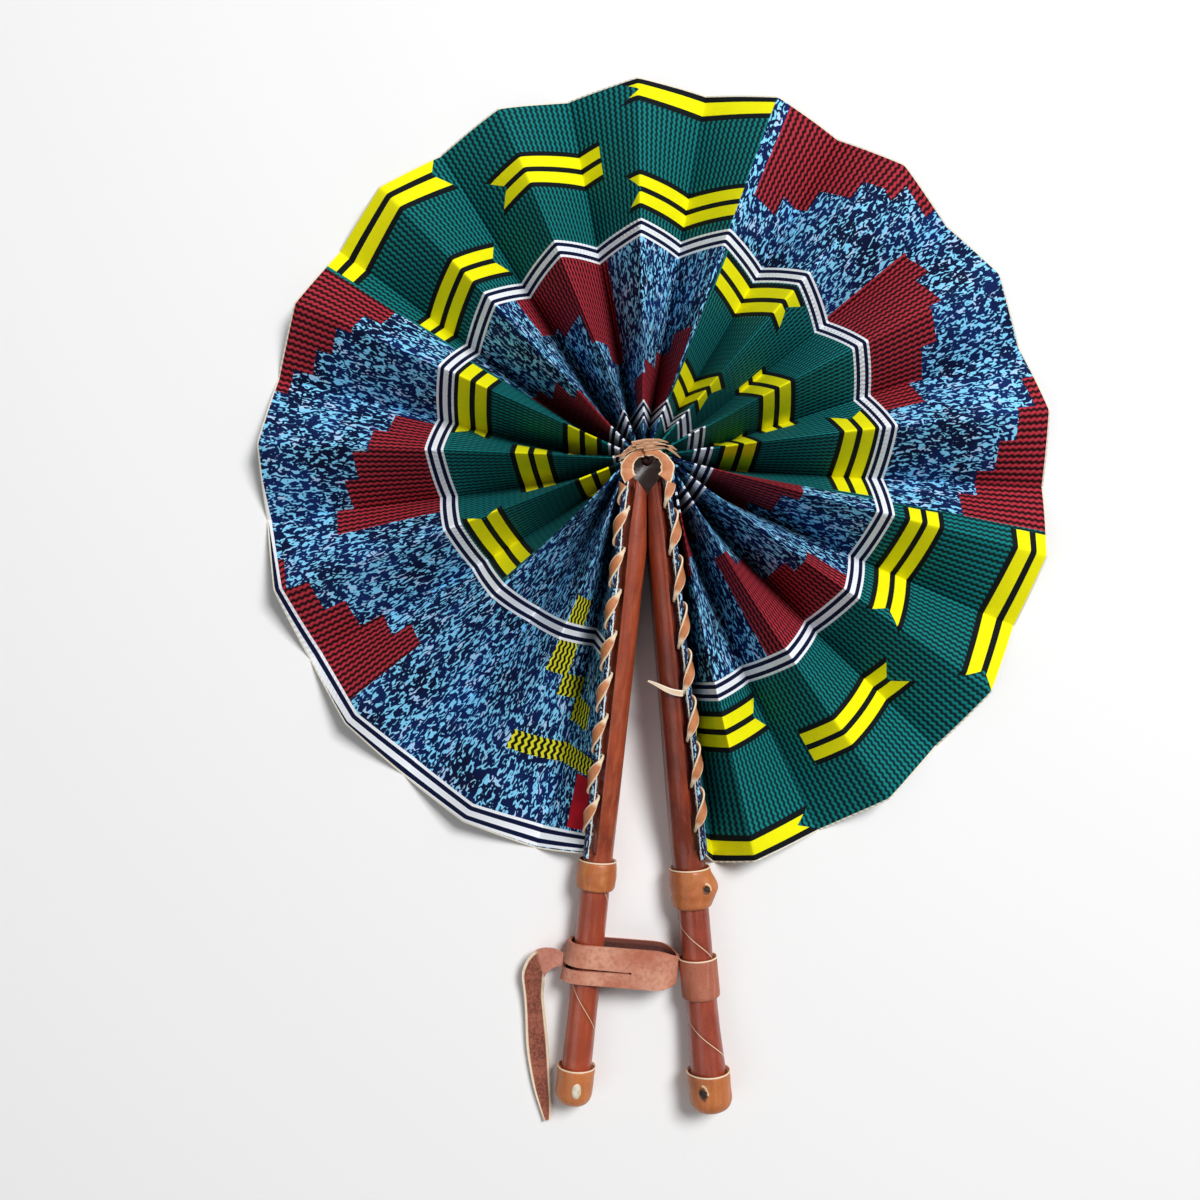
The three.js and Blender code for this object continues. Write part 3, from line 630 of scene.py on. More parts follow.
    def red_mask(self, turn: Number, height: Number, rim: Number) -> Number:
        """Return the mask of the red stepped blocks."""
        steps: list[Number] = []
        for block in RED_STEPS:
            level = rim if block.base is Base.RIM else height
            count = len(block.reaches)
            for i, (low, high) in enumerate(block.reaches):
                start, end = (lerp(block.start, block.end, (i + k) / count) for k in (0, 1))
                steps.append(turn.within(start, end) & level.within(low, high))
        return joined(steps)

    def bar_masks(self, turn: Number, height: Number, rim: Number) -> tuple[Number, Number]:
        """Return the mask of the bars with their outlines, and of the yellow alone."""
        whole: list[Number] = []
        yellow: list[Number] = []
        for bar in YELLOW_BARS:
            level = rim if bar.base is Base.RIM else height
            away = abs(level - bar.middle)
            inner = self.bar_gap if bar.twin else -1.0
            outer = self.bar_gap + self.bar_width if bar.twin else self.bar_width / 2
            edge = outer + self.bar_line
            cut = (1.0 - away / edge) * self.notch * abs(bar.notch.value)
            low = bar.start + (cut if bar.notch is Notch.START else 0.0)
            high = bar.end - (cut if bar.notch is Notch.END else 0.0)
            inside = (turn > low) & (turn < high) & (away < edge)
            whole.append(inside)
            yellow.append(inside & away.within(inner, outer))
        return joined(whole), joined(yellow)

    def hatch(self, angle: Number, reach: Number, strip: Number) -> tuple[Number, Number]:
        """Return the mask of the small hatched patches by the left stick, and of their lines."""
        patches = [angle.within(start, end) & reach.within(low, high)
                   for start, end, low, high in HATCHED_PATCHES]
        zigzag = reach.math("PINGPONG", self.hatch_bend) * self.hatch_sway
        lines = ((strip + zigzag) * (2 * math.pi / self.hatch_pitch)).math("SINE").stepped(0.1, 0.4)
        return joined(patches), lines

    def band_masks(self, angle: Number, height: Number, rim: Number) -> tuple[Number, Number]:
        """Return the mask of the stripe bands, and of the white in them.

        Args:
            angle: The angle round the fan, in degrees.
            height: The distance outwards from the middle band, in millimetres.
            rim: The distance from the rim, in millimetres.

        Returns:
            The mask of the bands, and of their white stripes.
        """
        share = angle / self.outer_end
        outer = abs(rim - self.band_outer + share * share * self.outer_drift)
        inner = abs(height + self.band_inner)
        away = inner.math("MINIMUM", abs(height)).math("MINIMUM", outer)
        white = away.within(-1.0, self.band_core) | away.within(self.band_edge, self.band_half)
        return away < self.band_half, white


@dataclass(frozen=True)
class CutWood:
    """Plain wood with long grain."""

    name: str = "core_wood"
    slot: Slot = Slot.CORE

    def make(self) -> bpy.types.Material:
        """Build the material and return it."""
        graph = Graph(self.name)
        grain = graph.noise(graph.stretched(graph.place(), (1.0, 14.0, 1.0)), 900.0, 4.0, 0.6)
        colour = graph.mix(grain.stepped(0.5, 0.4), paint("c9a271"), paint("94683a"))
        graph.bump(grain, 0.0002)
        return graph.dress(Base_Color=colour, Roughness=0.7 + grain * 0.1)


@dataclass(frozen=True)
class Horn:
    """Pale horn, clouded and lightly cracked."""

    name: str = "peg_horn"
    slot: Slot = Slot.HORN

    def make(self) -> bpy.types.Material:
        """Build the material and return it."""
        graph = Graph(self.name)
        cloud = graph.noise(graph.place(), 500.0, 4.0, 0.8)
        colour = graph.mix(cloud.stepped(0.5, 0.3), paint("ece3cf"), paint("c8b79a"))
        graph.bump(cloud, 0.0002)
        return graph.dress(Base_Color=colour, Roughness=0.4 + cloud * 0.2)


@dataclass(frozen=True)
class HemCloth:
    """The rolled edge of the print: blue speckle with a frayed pale edge."""

    name: str = "hem_cloth"
    slot: Slot = Slot.HEM

    def make(self) -> bpy.types.Material:
        """Build the material and return it."""
        graph = Graph(self.name)
        around, down = graph.surface(UV_SURFACE)
        mark = graph.noise(graph.join(around / 12.0, down / 2.0), 1.0, 1.0, 0.8).stepped(0.58, 0.05)
        fray = graph.noise(graph.join(around / 6.0, down / 0.8), 1.0, 2.0)
        colour = graph.mix(mark, paint("06133e"), paint("9fd4f2"))
        raw = (abs(around - 33.0) + (fray - 0.5) * 8.0) < 3.5
        colour = graph.mix(raw, colour, paint("efe6d2"))
        graph.bump(fray, 0.0003)
        return graph.dress(Base_Color=colour, Roughness=0.85)


class Finishes:
    """Every material of the fan, each built once."""

    def __init__(self) -> None:
        """Choose the finishes."""
        tan = Leather("tan_leather", Slot.TAN, "c8773f", "a0522a", "df9a62", 0.42, 0.2)
        self.chosen = {
            "left_blade": Leather("left_blade_leather", Slot.GLOSSY, "a84a2b", "74250f", "cf7a50",
                                  turn=-0.105),
            # The right blade is darker than the left blade and its own grip: partly its own darker leather, partly
            # painted shade.
            "right_blade": Leather("right_blade_leather", Slot.DARK, "8e3418", "561a0b", "b05a38", 0.36,
                                   turn=0.089),
            "left_grip": Leather("left_grip_leather", Slot.GLOSSY, "a9492c", "7c2c16", "c66a48", turn=-0.105,
                                 seam_turns=50.0, seam_start=227.6),
            "right_grip": Leather("right_grip_leather", Slot.GLOSSY, "a4462f", "702411", "c8684c", turn=0.089,
                                  seam_turns=-37.0, seam_start=181.0),
            "tan": tan,
            # Both have a dimple whose dark middle is painted shade of a hollow.
            "holed": replace(tan, name="holed_leather", dimple=(31.8, 246.5, 1.5)),
            "knotted": replace(tan, name="knotted_leather", dimple=(15.3, 169.5, 1.0)),
            "strap_band": Leather("strap_band_leather", Slot.STRAP, "b4694f", "8f4630", "d19a80", 0.55, 0.05,
                                  grain_depth=0.00025),
            "lace": Thong("lace_leather", Slot.LACE, "d08a5c", "ae6238", "f3d9b4", 0.8),
            "wound": Thong("wound_lace", Slot.LACE, "cf8858", "a85c34", "f6e0bf", 0.86, tip=0.25),
            "strand": Thong("torn_lace", Slot.LACE, "b5825f", "8e5c40", "d9ad86", 0.6),
            "cream": Thong("loose_lace", Slot.LACE, "ead2b4", "d6b08c", "f8ecda", 0.6),
            "thread": Thong("edge_thread", Slot.LACE, "f3d3ac", "e6b98c", "f7e2c4"),
            "strap": Flesh("strap_leather", Slot.STRAP, "bb6f56", "d89a80", "a45a42", "6f3a2c", "ecd3b2",
                           NO_FOLD),
            # The loop's inner side is its flesh side, painted darker than the tail's flesh side: painted shade
            # inside the flat loop.
            "strap_inside": Flesh("strap_inside_shaded_leather", Slot.STRAP, "6f3a2c", "5a2a20", "5a2a20", "3a1a12",
                                  "6f3a2c", 0.0),
            "tail": Flesh("tail_leather", Slot.STRAP, "c07a66", "cf8c78", "a8604a", "70392a", "f0dcc0", 17.0),
            "print": PrintedCloth(),
            "hem": HemCloth(),
            "wood": CutWood(),
            "horn": Horn(),
            # The knot in the hub's hole is painted near-black brown: painted shade of the deep hole round it, not
            # the lace's own colour.
            "knot": Leather("hub_knot_painted_shade", Slot.LACE, "3a1a10", "1c0a06", "4a2418", 0.8, 0.0),
        }
        self.made: dict[str, bpy.types.Material] = {}

    def material(self, key: str) -> bpy.types.Material:
        """Return a finish's material, built on its first use."""
        if key not in self.made:
            self.made[key] = self.chosen[key].make()
        return self.made[key]

    def slot(self, key: str) -> str:
        """Return the name of a finish's slot in the record."""
        return self.chosen[key].slot.value


# Shapes


Place = Callable[[float, float], Vector]
Chart = Callable[[float, float], tuple[float, float]]
Cell = Callable[[float, float], bool]
LINING = 1  # the material place of a piece's inner side


class Workshop:
    """Makes pieces from sheets that are laid out, rolled up and thickened, and puts them on the fan."""

    def __init__(self, finishes: Finishes) -> None:
        """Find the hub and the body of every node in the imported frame."""
        self.finishes = finishes
        joints = {joint["name"]: joint for joint in frame["joints"]}
        hub = joints["guard_fold"]["pos_m"]
        self.hub = Vector((hub[0], hub[1], 0.0))
        groups = frame["record"]["behaviour"]["bodies"]
        self.bodies = {node: body for body, nodes in groups.items() for node in nodes}

    def sheet(self, columns: Sequence[float], rows: Sequence[float], place: Place, chart: Chart,
              edges: Chart | None = None, rolled: bool = False,
              slit: Cell | None = None) -> bmesh.types.BMesh:
        """Lay a grid out point by point, in millimetres from the hub.

        Args:
            columns: The values across the grid.
            rows: The values down the grid.
            place: Gives the point for a column's and a row's value.
            chart: Gives the two numbers of the surface map there.
            edges: Gives the two numbers of the edges map there.
            rolled: Whether the last column closes on the first.
            slit: Tells, from a cell's middle column and row, whether the cell is cut out.

        Returns:
            The mesh, with its faces turned outwards.
        """
        mesh = bmesh.new()
        bmesh.ops.create_grid(mesh, x_segments=len(columns) - 1, y_segments=len(rows) - 1, size=0.5)
        charts = [(mesh.loops.layers.uv.new(UV_SURFACE), chart)]
        if edges:
            charts.append((mesh.loops.layers.uv.new(UV_EDGES), edges))
        values = {
            vert: (columns[round((vert.co.x + 0.5) * (len(columns) - 1))],
                   rows[round((vert.co.y + 0.5) * (len(rows) - 1))])
            for vert in mesh.verts
        }
        for layer, numbers in charts:
            for face in mesh.faces:
                for corner in face.loops:
                    across, down = numbers(*values[corner.vert])
                    corner[layer].uv = (across / UV_STEP, down / UV_STEP)
        cut_out = []
        for face in mesh.faces if slit else ():
            middle = [sum(values[vert][i] for vert in face.verts) / len(face.verts) for i in (0, 1)]
            if slit(*middle):
                cut_out.append(face)
        for vert, (column, row) in values.items():
            vert.co = place(column, row)
        bmesh.ops.delete(mesh, geom=cut_out, context="FACES")
        if rolled:
            bmesh.ops.remove_doubles(mesh, verts=mesh.verts, dist=1e-4)
        bmesh.ops.recalc_face_normals(mesh, faces=mesh.faces)
        return mesh

    def face_up(self, mesh: bmesh.types.BMesh) -> None:
        """Turn a sheet's faces so that they look up."""
        if sum(face.normal.z for face in mesh.faces) < 0:
            bmesh.ops.reverse_faces(mesh, faces=mesh.faces)

    def close(self, mesh: bmesh.types.BMesh) -> None:
        """Fill the open ends of a mesh and turn its faces outwards."""
        bmesh.ops.holes_fill(mesh, edges=[edge for edge in mesh.edges if edge.is_boundary], sides=0)
        bmesh.ops.recalc_face_normals(mesh, faces=mesh.faces)

    def thicken(self, mesh: bmesh.types.BMesh, thickness: float, lining: int = 0) -> None:
        """Give a sheet its thickness, inwards from its outer side and never through the table.

        Args:
            mesh: The sheet.
            thickness: How far its inner side lies from its outer side.
            lining: The material place of the inner side.
        """
        made = bmesh.ops.extrude_face_region(mesh, geom=mesh.faces[:], use_keep_orig=True)
        inner = [item for item in made["geom"] if isinstance(item, bmesh.types.BMVert)]
        for vert in inner:
            vert.co -= vert.normal * thickness
            vert.co.z = max(vert.co.z, 0.0)
        inside = set(inner)
        for face in mesh.faces:
            if inside.issuperset(face.verts):
                face.material_index = lining
        bmesh.ops.recalc_face_normals(mesh, faces=mesh.faces)

    def piece(self, mesh: bmesh.types.BMesh, name: str, finish: str, nodes: Sequence[str] = (),
              body: str = "", sharp: float = 40.0, lining: str = "") -> bpy.types.Object:
        """Turn a mesh into a piece of the fan.

        Args:
            mesh: The shape, in millimetres from the hub.
            name: The piece's name.
            finish: The key of its finish.
            nodes: The nodes of the frame that it stands for.
            body: The body it rides on, where it stands for no node.
            sharp: Edges that turn by more degrees than this stay crisp.
            lining: The key of the finish of its inner side, where that differs.

        Returns:
            The object.
        """
        for edge in mesh.edges:
            edge.smooth = len(edge.link_faces) == 2 and edge.calc_face_angle() < math.radians(sharp)
        for face in mesh.faces:
            face.smooth = True
        mesh.transform(Matrix.Translation(self.hub) @ Matrix.Scale(MM, 4))
        data = bpy.data.meshes.new(name)
        mesh.to_mesh(data)
        mesh.free()
        for key in (finish, lining) if lining else (finish,):
            data.materials.append(self.finishes.material(key))
        item = bpy.data.objects.new(name, data)
        bpy.context.scene.collection.objects.link(item)
        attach(item, body or self.bodies[nodes[0]])
        self.finishes.slot(finish)
        if nodes:
            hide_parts(*nodes)
        LOG.info("%s: %d faces", name, len(data.polygons))
        return item

    def strip(self, path: Sequence[Vector], normals: Sequence[Vector], widths: Sequence[float],
              thick: float, marks: Sequence[float] = ()) -> bmesh.types.BMesh:
        """Make a flat thong with rounded edges along a path.

        Args:
            path: The middle line's points.
            normals: Where the flat side faces at each point.
            widths: The width at each point.
            thick: The thickness.
            marks: The second number of its map at each point, where that isn't the place along it.

        Returns:
            The closed mesh. Its map gives 0 to 100 across and the place along it.
        """
        corners = [(-0.78, -1.0), (0.0, -1.0), (0.78, -1.0), (1.0, -0.5), (1.0, 0.5), (0.78, 1.0), (0.0, 1.0),
                   (-0.78, 1.0), (-1.0, 0.5), (-1.0, -0.5), (-0.78, -1.0)]
        lengths = [0.0]
        for here, there in zip(path, path[1:]):
            lengths.append(lengths[-1] + (there - here).length)

        def place(corner: float, step: float) -> Vector:
            """Return a corner of the cross-section at a step of the path."""
            i = int(step)
            run = (path[min(i + 1, len(path) - 1)] - path[max(i - 1, 0)]).normalized()
            across = run.cross(normals[i]).normalized()
            up = across.cross(run).normalized()
            x, y = corners[int(corner)]
            return path[i] + across * (x * widths[i] / 2) + up * (y * thick / 2)

        def chart(corner: float, step: float) -> tuple[float, float]:
            """Return how far across and along the strip a corner is."""
            return 50 + 50 * corners[int(corner)][0], (marks or lengths)[int(step)]

        mesh = self.sheet(range(len(corners)), range(len(path)), place, chart, rolled=True)
        self.close(mesh)
        return mesh


# The sizes of the cloth, in millimetres and in degrees clockwise from straight down


@dataclass(frozen=True)
class Folds:
    """Where the folds of the cloth run, as in the frame."""

    ridges: int = 16
    first_ridge: float = 27.0
    last_ridge: float = 345.0
    last_valley: float = 350.4
    rim_radius: float = 159.5
    rim_shift: float = 3.5
    rim_drop: float = 3.0
    rim_rise: float = 10.9
    ridge_sway: float = 3.4
    hole_half_width: float = 9.8
    hole_half_height: float = 8.8
    hole_shift: float = -0.6
    hole_drop: float = 6.0
    hole_lean: float = 12.0
    bow_left: float = 10.0
    bow_right: float = 5.5
    bow_spread: float = 18.0
    bow_share: float = 0.4

    @property
    def pitch(self) -> float:
        """The angle from ridge to ridge."""
        return (self.last_ridge - self.first_ridge) / (self.ridges - 1)

    @property
    def panel(self) -> float:
        """The width of one panel, from fold to fold."""
        span = 2 * (self.rim_radius + self.rim_shift) * math.sin(math.radians(self.pitch / 4))
        return math.hypot(span, self.rim_rise)

    def angle(self, fold: int) -> float:
        """Return a fold's angle. Fold 0 is the valley at the left stick, and odd folds are ridges."""
        if fold == 2 * self.ridges:
            return self.last_valley
        sway = self.ridge_sway * math.sin(math.pi * (fold - 1) / (2 * self.ridges - 2))
        return self.first_ridge + (fold - 1) * self.pitch / 2 + sway

    def open_height(self, reach: float) -> float:
        """Return the height of a ridge at a distance from the hub."""
        span = 2 * reach * math.sin(math.radians(self.pitch / 4))
        return math.sqrt(max(self.panel ** 2 - span ** 2, 0.0))

    def rim_point(self, fold: int) -> Vector:
        """Return where a fold meets the rim."""
        turn = math.radians(self.angle(fold))
        out = Vector((-math.sin(turn), -math.cos(turn)))
        shift = Vector((self.rim_shift, -self.rim_drop))
        lengthwise = out.dot(shift)
        return out * (lengthwise + math.sqrt(self.rim_radius ** 2 - shift.length_squared + lengthwise ** 2))

    def hole_point(self, fold: int) -> Vector:
        """Return where a fold starts, on the oval round the hub."""
        turn = math.radians(lerp(180 + self.hole_lean, -self.hole_lean, fold / (2 * self.ridges)))
        return Vector((self.hole_shift + self.hole_half_width * math.cos(turn),
                       self.hole_half_height * math.sin(turn) - self.hole_drop))

    def bow(self, away: float) -> float:
        """Return how much of its bend a fold has at an angle from a stick."""
        share = max(away, 0.0) / self.bow_spread
        return share * math.exp(1 - share)

    def point(self, fold: int, share: float) -> Vector:
        """Return a point of a fold on the table.

        Args:
            fold: The fold's number.
            share: The way along it, from 0 at the hub to 1 at the rim.

        Returns:
            The point, from the hub.
        """
        angle = self.angle(fold)
        start, end = self.hole_point(fold), self.rim_point(fold)
        turn = math.radians(angle)
        clockwise = Vector((-math.cos(turn), math.sin(turn)))
        bend = self.bow_right * self.bow(self.last_valley - angle)
        bend -= self.bow_left * self.bow(angle - self.angle(0) / 2)
        control = start.lerp(end, self.bow_share) + clockwise * bend
        return start * (1 - share) ** 2 + control * (2 * share * (1 - share)) + end * share ** 2

    def ridge_height(self, fold: int, share: float) -> float:
        """Return the height of a ridge that its two panels leave."""
        ridge = self.point(fold, share)
        spans = [(self.point(fold + side, share) - ridge).length for side in (-1, 1)]
        return math.sqrt(self.panel ** 2 - max(spans) ** 2)


FOLDS = Folds()


@dataclass(frozen=True)
class Guard:
    """The shape of one stick. Down it runs s from the hub, and t runs across it towards the cloth."""

    name: str
    side: int
    angle: float
    offset: float
    bend: float
    apart: float
    half_widths: tuple[tuple[float, float], ...]
    collar: tuple[float, float]
    collar_swell: float
    knot: float
    cap: tuple[float, float]
    lace_start: float
    lace_pitch: float
    lace_turns: float
    gap: float = 0.3
    sleeve: float = 1.2
    band: float = 1.3
    foot_radius: float = 2.5
    grip_flat: float = 0.6
    bend_end: float = 50.0
    tip_outer: float = 6.0
    tip_inner: float = 15.0
    lift: float = 1.6
    hem_radius: float = 1.2
    hem_tilt: float = 48.0
    hem_out: float = 1.0
    hem_start: float = 10.0
    hem_end: float = 156.0
    notch: float = 3.6

    def half_width(self, s: float) -> float:
        """Return half the stick's width."""
        return along(self.half_widths, s)

    def roundness(self, s: float) -> float:
        """Return 0 on the blade and 1 on the round grip."""
        return clamp((s - (self.hem_end - 26)) / 25)

    def back(self, s: float) -> float:
        """Return the height of the stick's back above the table."""
        return self.lift * self.roundness(s)

    def front(self, s: float) -> float:
        """Return the height of the stick's front above the table."""
        grip = self.back(s) + 2 * self.half_width(s)
        return max(lerp(FOLDS.open_height(s), grip, self.roundness(s) ** 4), grip)

    def middle(self, s: float) -> float:
        """Return where the stick's middle is across t."""
        return self.offset + self.bend * (max(self.bend_end - s, 0) / self.bend_end) ** 2

    def point(self, t: float, s: float, z: float) -> Vector:
        """Return a point of the stick's own frame, from the hub."""
        turn = math.radians(self.angle)
        sine, cosine = math.sin(turn), math.cos(turn)
        return Vector((self.side * (t * cosine + s * sine), t * sine - s * cosine, z))

    def hem_middle(self, s: float) -> Vector:
        """Return the middle of the laced hem, as t and z."""
        half = self.half_width(s)
        reach = half + self.hem_out
        tilt = math.radians(self.hem_tilt)
        return Vector((self.middle(s) + reach * math.cos(tilt),
                       self.front(s) - half + reach * math.sin(tilt)))

    def outline(self, s: float) -> list[Vector]:
        """Draw a cross-section: a round front, straight sides, a flat back and a hollow for the hem.

        Args:
            s: The distance from the hub.

        Returns:
            Its points as t and z, closed, and the same number everywhere.
        """
        half, low, high, middle = self.half_width(s), self.back(s), self.front(s), self.middle(s)
        foot = max(lerp(self.foot_radius, half - self.grip_flat, self.roundness(s)), self.grip_flat)
        arcs = ((0.0, high - half, half, 0, 180, 48), (foot - half, low + foot, foot, 180, 270, 10),
                (half - foot, low + foot, foot, 270, 360, 10))
        hem = self.hem_middle(s)
        hollow = self.notch if s < self.hem_end + 1 else 0.0
        points: list[Vector] = []
        for t, z, radius, start, end, steps in arcs:
            for turn in spread(math.radians(start), math.radians(end), steps):
                spot = Vector((middle + t + radius * math.cos(turn), z + radius * math.sin(turn)))
                away = spot - hem
                points.append(hem + away.normalized() * hollow if away.length < hollow else spot)
        return points + points[:1]

    def slanted(self, t: float, s: float, z: float) -> Vector:
        """Return a point on the stick's surface, with the slant of the top end.

        Args:
            t: The place across the stick.
            s: The distance from the hub before the slant.
            z: The height above the table.

        Returns:
            The point, from the hub.
        """
        slope = (self.tip_inner - self.tip_outer) / (2 * self.half_width(self.tip_outer))
        share = clamp(1 - (s - self.tip_outer) / self.bend_end)
        spot = self.point(t, s - share * slope * (t - self.middle(s) - self.half_width(s)), z)
        spot.x = self.side * max(self.side * spot.x, self.apart)
        return spot

    def ring(self, s: float, turn: float, radius: float) -> Vector:
        """Return a point of a round band about the grip, pressed flat on the table."""
        centre = self.back(s) + self.half_width(s)
        z = max(centre + radius * math.sin(turn), 0.0)
        return self.point(self.middle(s) + radius * math.cos(turn), s, z)


LEFT = Guard("left", -1, 6.0, 2.8, 0.8, 0.52,
             ((0, 4.2), (6, 4.4), (28, 6.1), (50, 5.8), (150, 5.8), (170, 5.85), (240, 5.9)),
             (159.5, 170.5), 0.6, 0.0, (239.5, 254.0), 12.6, 16.0, 8.5)
RIGHT = Guard("right", 1, 5.1, 2.4, 0.0, -0.41,
              ((0, 4.0), (6, 4.15), (28, 5.4), (50, 5.3), (150, 6.7), (170, 6.2), (205, 5.95), (225, 6.2),
               (240, 6.9)),
              (162.0, 177.0), 0.4, 2.6, (240.5, 255.5), 11.8, 18.0, 7.5)


@dataclass
class Cloth:
    """The pleated strip: sixteen pleats and the last panel at each stick."""

    shop: Workshop
    thickness: float = 0.42
    crease: float = 0.9  # how round a ridge is
    rows: int = 44
    crowding: float = 1.4
    ripple: float = 0.5
    bulge: float = 0.9
    closed_first: float = 10.6  # where the first pleat lies in the closed fan, from the hub
    closed_step: float = 1.55
    closed_keep: float = 0.022
    closed_panel: float = 9.2  # where an end panel lies in the closed fan, and what it keeps of its width
    closed_panel_keep: float = 0.04
    cloth_start: float = 9.0  # the strip's inner edge, from the hub
    panel_top: float = 0.8
    end_panel_share: float = 0.75  # the rest of the last panel is rolled into the hem
    half_columns: tuple[float, ...] = (1.0, 0.93, 0.82, 0.7, 0.58, 0.46, 0.34, 0.24, 0.15, 0.08, 0.04, 0.018)

    def build(self) -> None:
        """Build every pleat and both end panels."""
        for number in range(1, FOLDS.ridges + 1):
            self.pleat(number)
        for guard in (LEFT, RIGHT):
            self.end_panel(guard)

    def shares(self) -> list[float]:
        """Return the shares of a fold's length that have a cross-section."""
        return [share ** self.crowding for share in spread(0.0, 1.0, self.rows)]

    def edges(self, fold: int) -> Chart:
        """Return the map of the distances from the rim and from the inner edge, along a fold."""
        length = (FOLDS.rim_point(fold) - FOLDS.hole_point(fold)).length
        return lambda _across, share: ((1 - share) * length, share * length)

    def pleat(self, number: int) -> None:
        """Build one pleat, an upturned V of cloth between two valleys."""
        fold = 2 * number - 1
        columns = [-x for x in self.half_columns] + [0.0] + list(reversed(self.half_columns))
        panel = FOLDS.panel
        soft = math.hypot(panel, self.crease) - self.crease

        def place(across: float, share: float) -> Vector:
            """Return a point of the pleat."""
            side = -1 if across < 0 else 1
            ridge, valley = FOLDS.point(fold, share), FOLDS.point(fold + side, share)
            spot = ridge.lerp(valley, abs(across))
            top = FOLDS.ridge_height(fold, share)
            fallen = (math.hypot(abs(across) * panel, self.crease) - self.crease) / soft
            height = top * (1 - fallen)
            wave = noise.noise(Vector((spot.x / 26, spot.y / 26, number * 3.7)))
            sag = math.sin(math.pi * abs(across)) * share
            out = (spot - ridge).normalized() if across else Vector((0.0, 0.0))
            spot = spot + out * (sag * (self.bulge * 0.4 + wave * self.ripple))
            return Vector((spot.x, spot.y, height + sag * (self.bulge * 0.5 + wave * self.ripple * 0.6)))

        def chart(across: float, share: float) -> tuple[float, float]:
            """Return the angle and the distance from the hub that the print follows."""
            side = -1 if across < 0 else 1
            spot = FOLDS.point(fold, share).lerp(FOLDS.point(fold + side, share), abs(across))
            return lerp(FOLDS.angle(fold), FOLDS.angle(fold + side), abs(across)), spot.length

        mesh = self.shop.sheet(columns, self.shares(), place, chart, self.edges(fold))
        self.shop.face_up(mesh)
        self.shop.thicken(mesh, self.thickness)
        label = f"{number:02d}"
        item = self.shop.piece(mesh, f"cloth_pleat_{label}", "print", [f"pleat_{label}"], sharp=75)
        turn = math.radians(FOLDS.angle(fold))
        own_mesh(item)

    def end_panel(self, guard: Guard) -> None:
        """Build the last panel, from the foot of the next pleat up the side of a stick."""
        left = guard is LEFT
        fold = 0 if left else 2 * FOLDS.ridges
        step = -1 if left else 1

        def stick(share: float) -> Vector:
            """Return where the panel meets the stick's side."""
            s = lerp(guard.tip_outer + 2, guard.hem_end + 1.5, share)
            half = guard.half_width(s)
            return guard.point(guard.middle(s) + half + guard.gap, s, guard.front(s) - half + self.panel_top)

        def place(across: float, share: float) -> Vector:
            """Return a point of the panel."""
            valley, top = FOLDS.point(fold, share), stick(share)
            spot = valley.to_3d().lerp(top, across)
            sag = math.sin(math.pi * across) * share * self.bulge
            return spot + Vector((0.0, 0.0, sag))

        def chart(across: float, share: float) -> tuple[float, float]:
            """Return the angle and the distance from the hub that the print follows."""
            return FOLDS.angle(fold) + step * across * FOLDS.pitch / 2, FOLDS.point(fold, share).length

        mesh = self.shop.sheet(spread(0.0, 1.0, 10), self.shares(), place, chart, self.edges(fold))
        self.shop.face_up(mesh)
        self.shop.thicken(mesh, self.thickness)
        name = f"{guard.name}_end_panel"
        item = self.shop.piece(mesh, f"cloth_{name}", "print", [name], sharp=75)
        turn = math.radians(guard.angle)
        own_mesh(item)


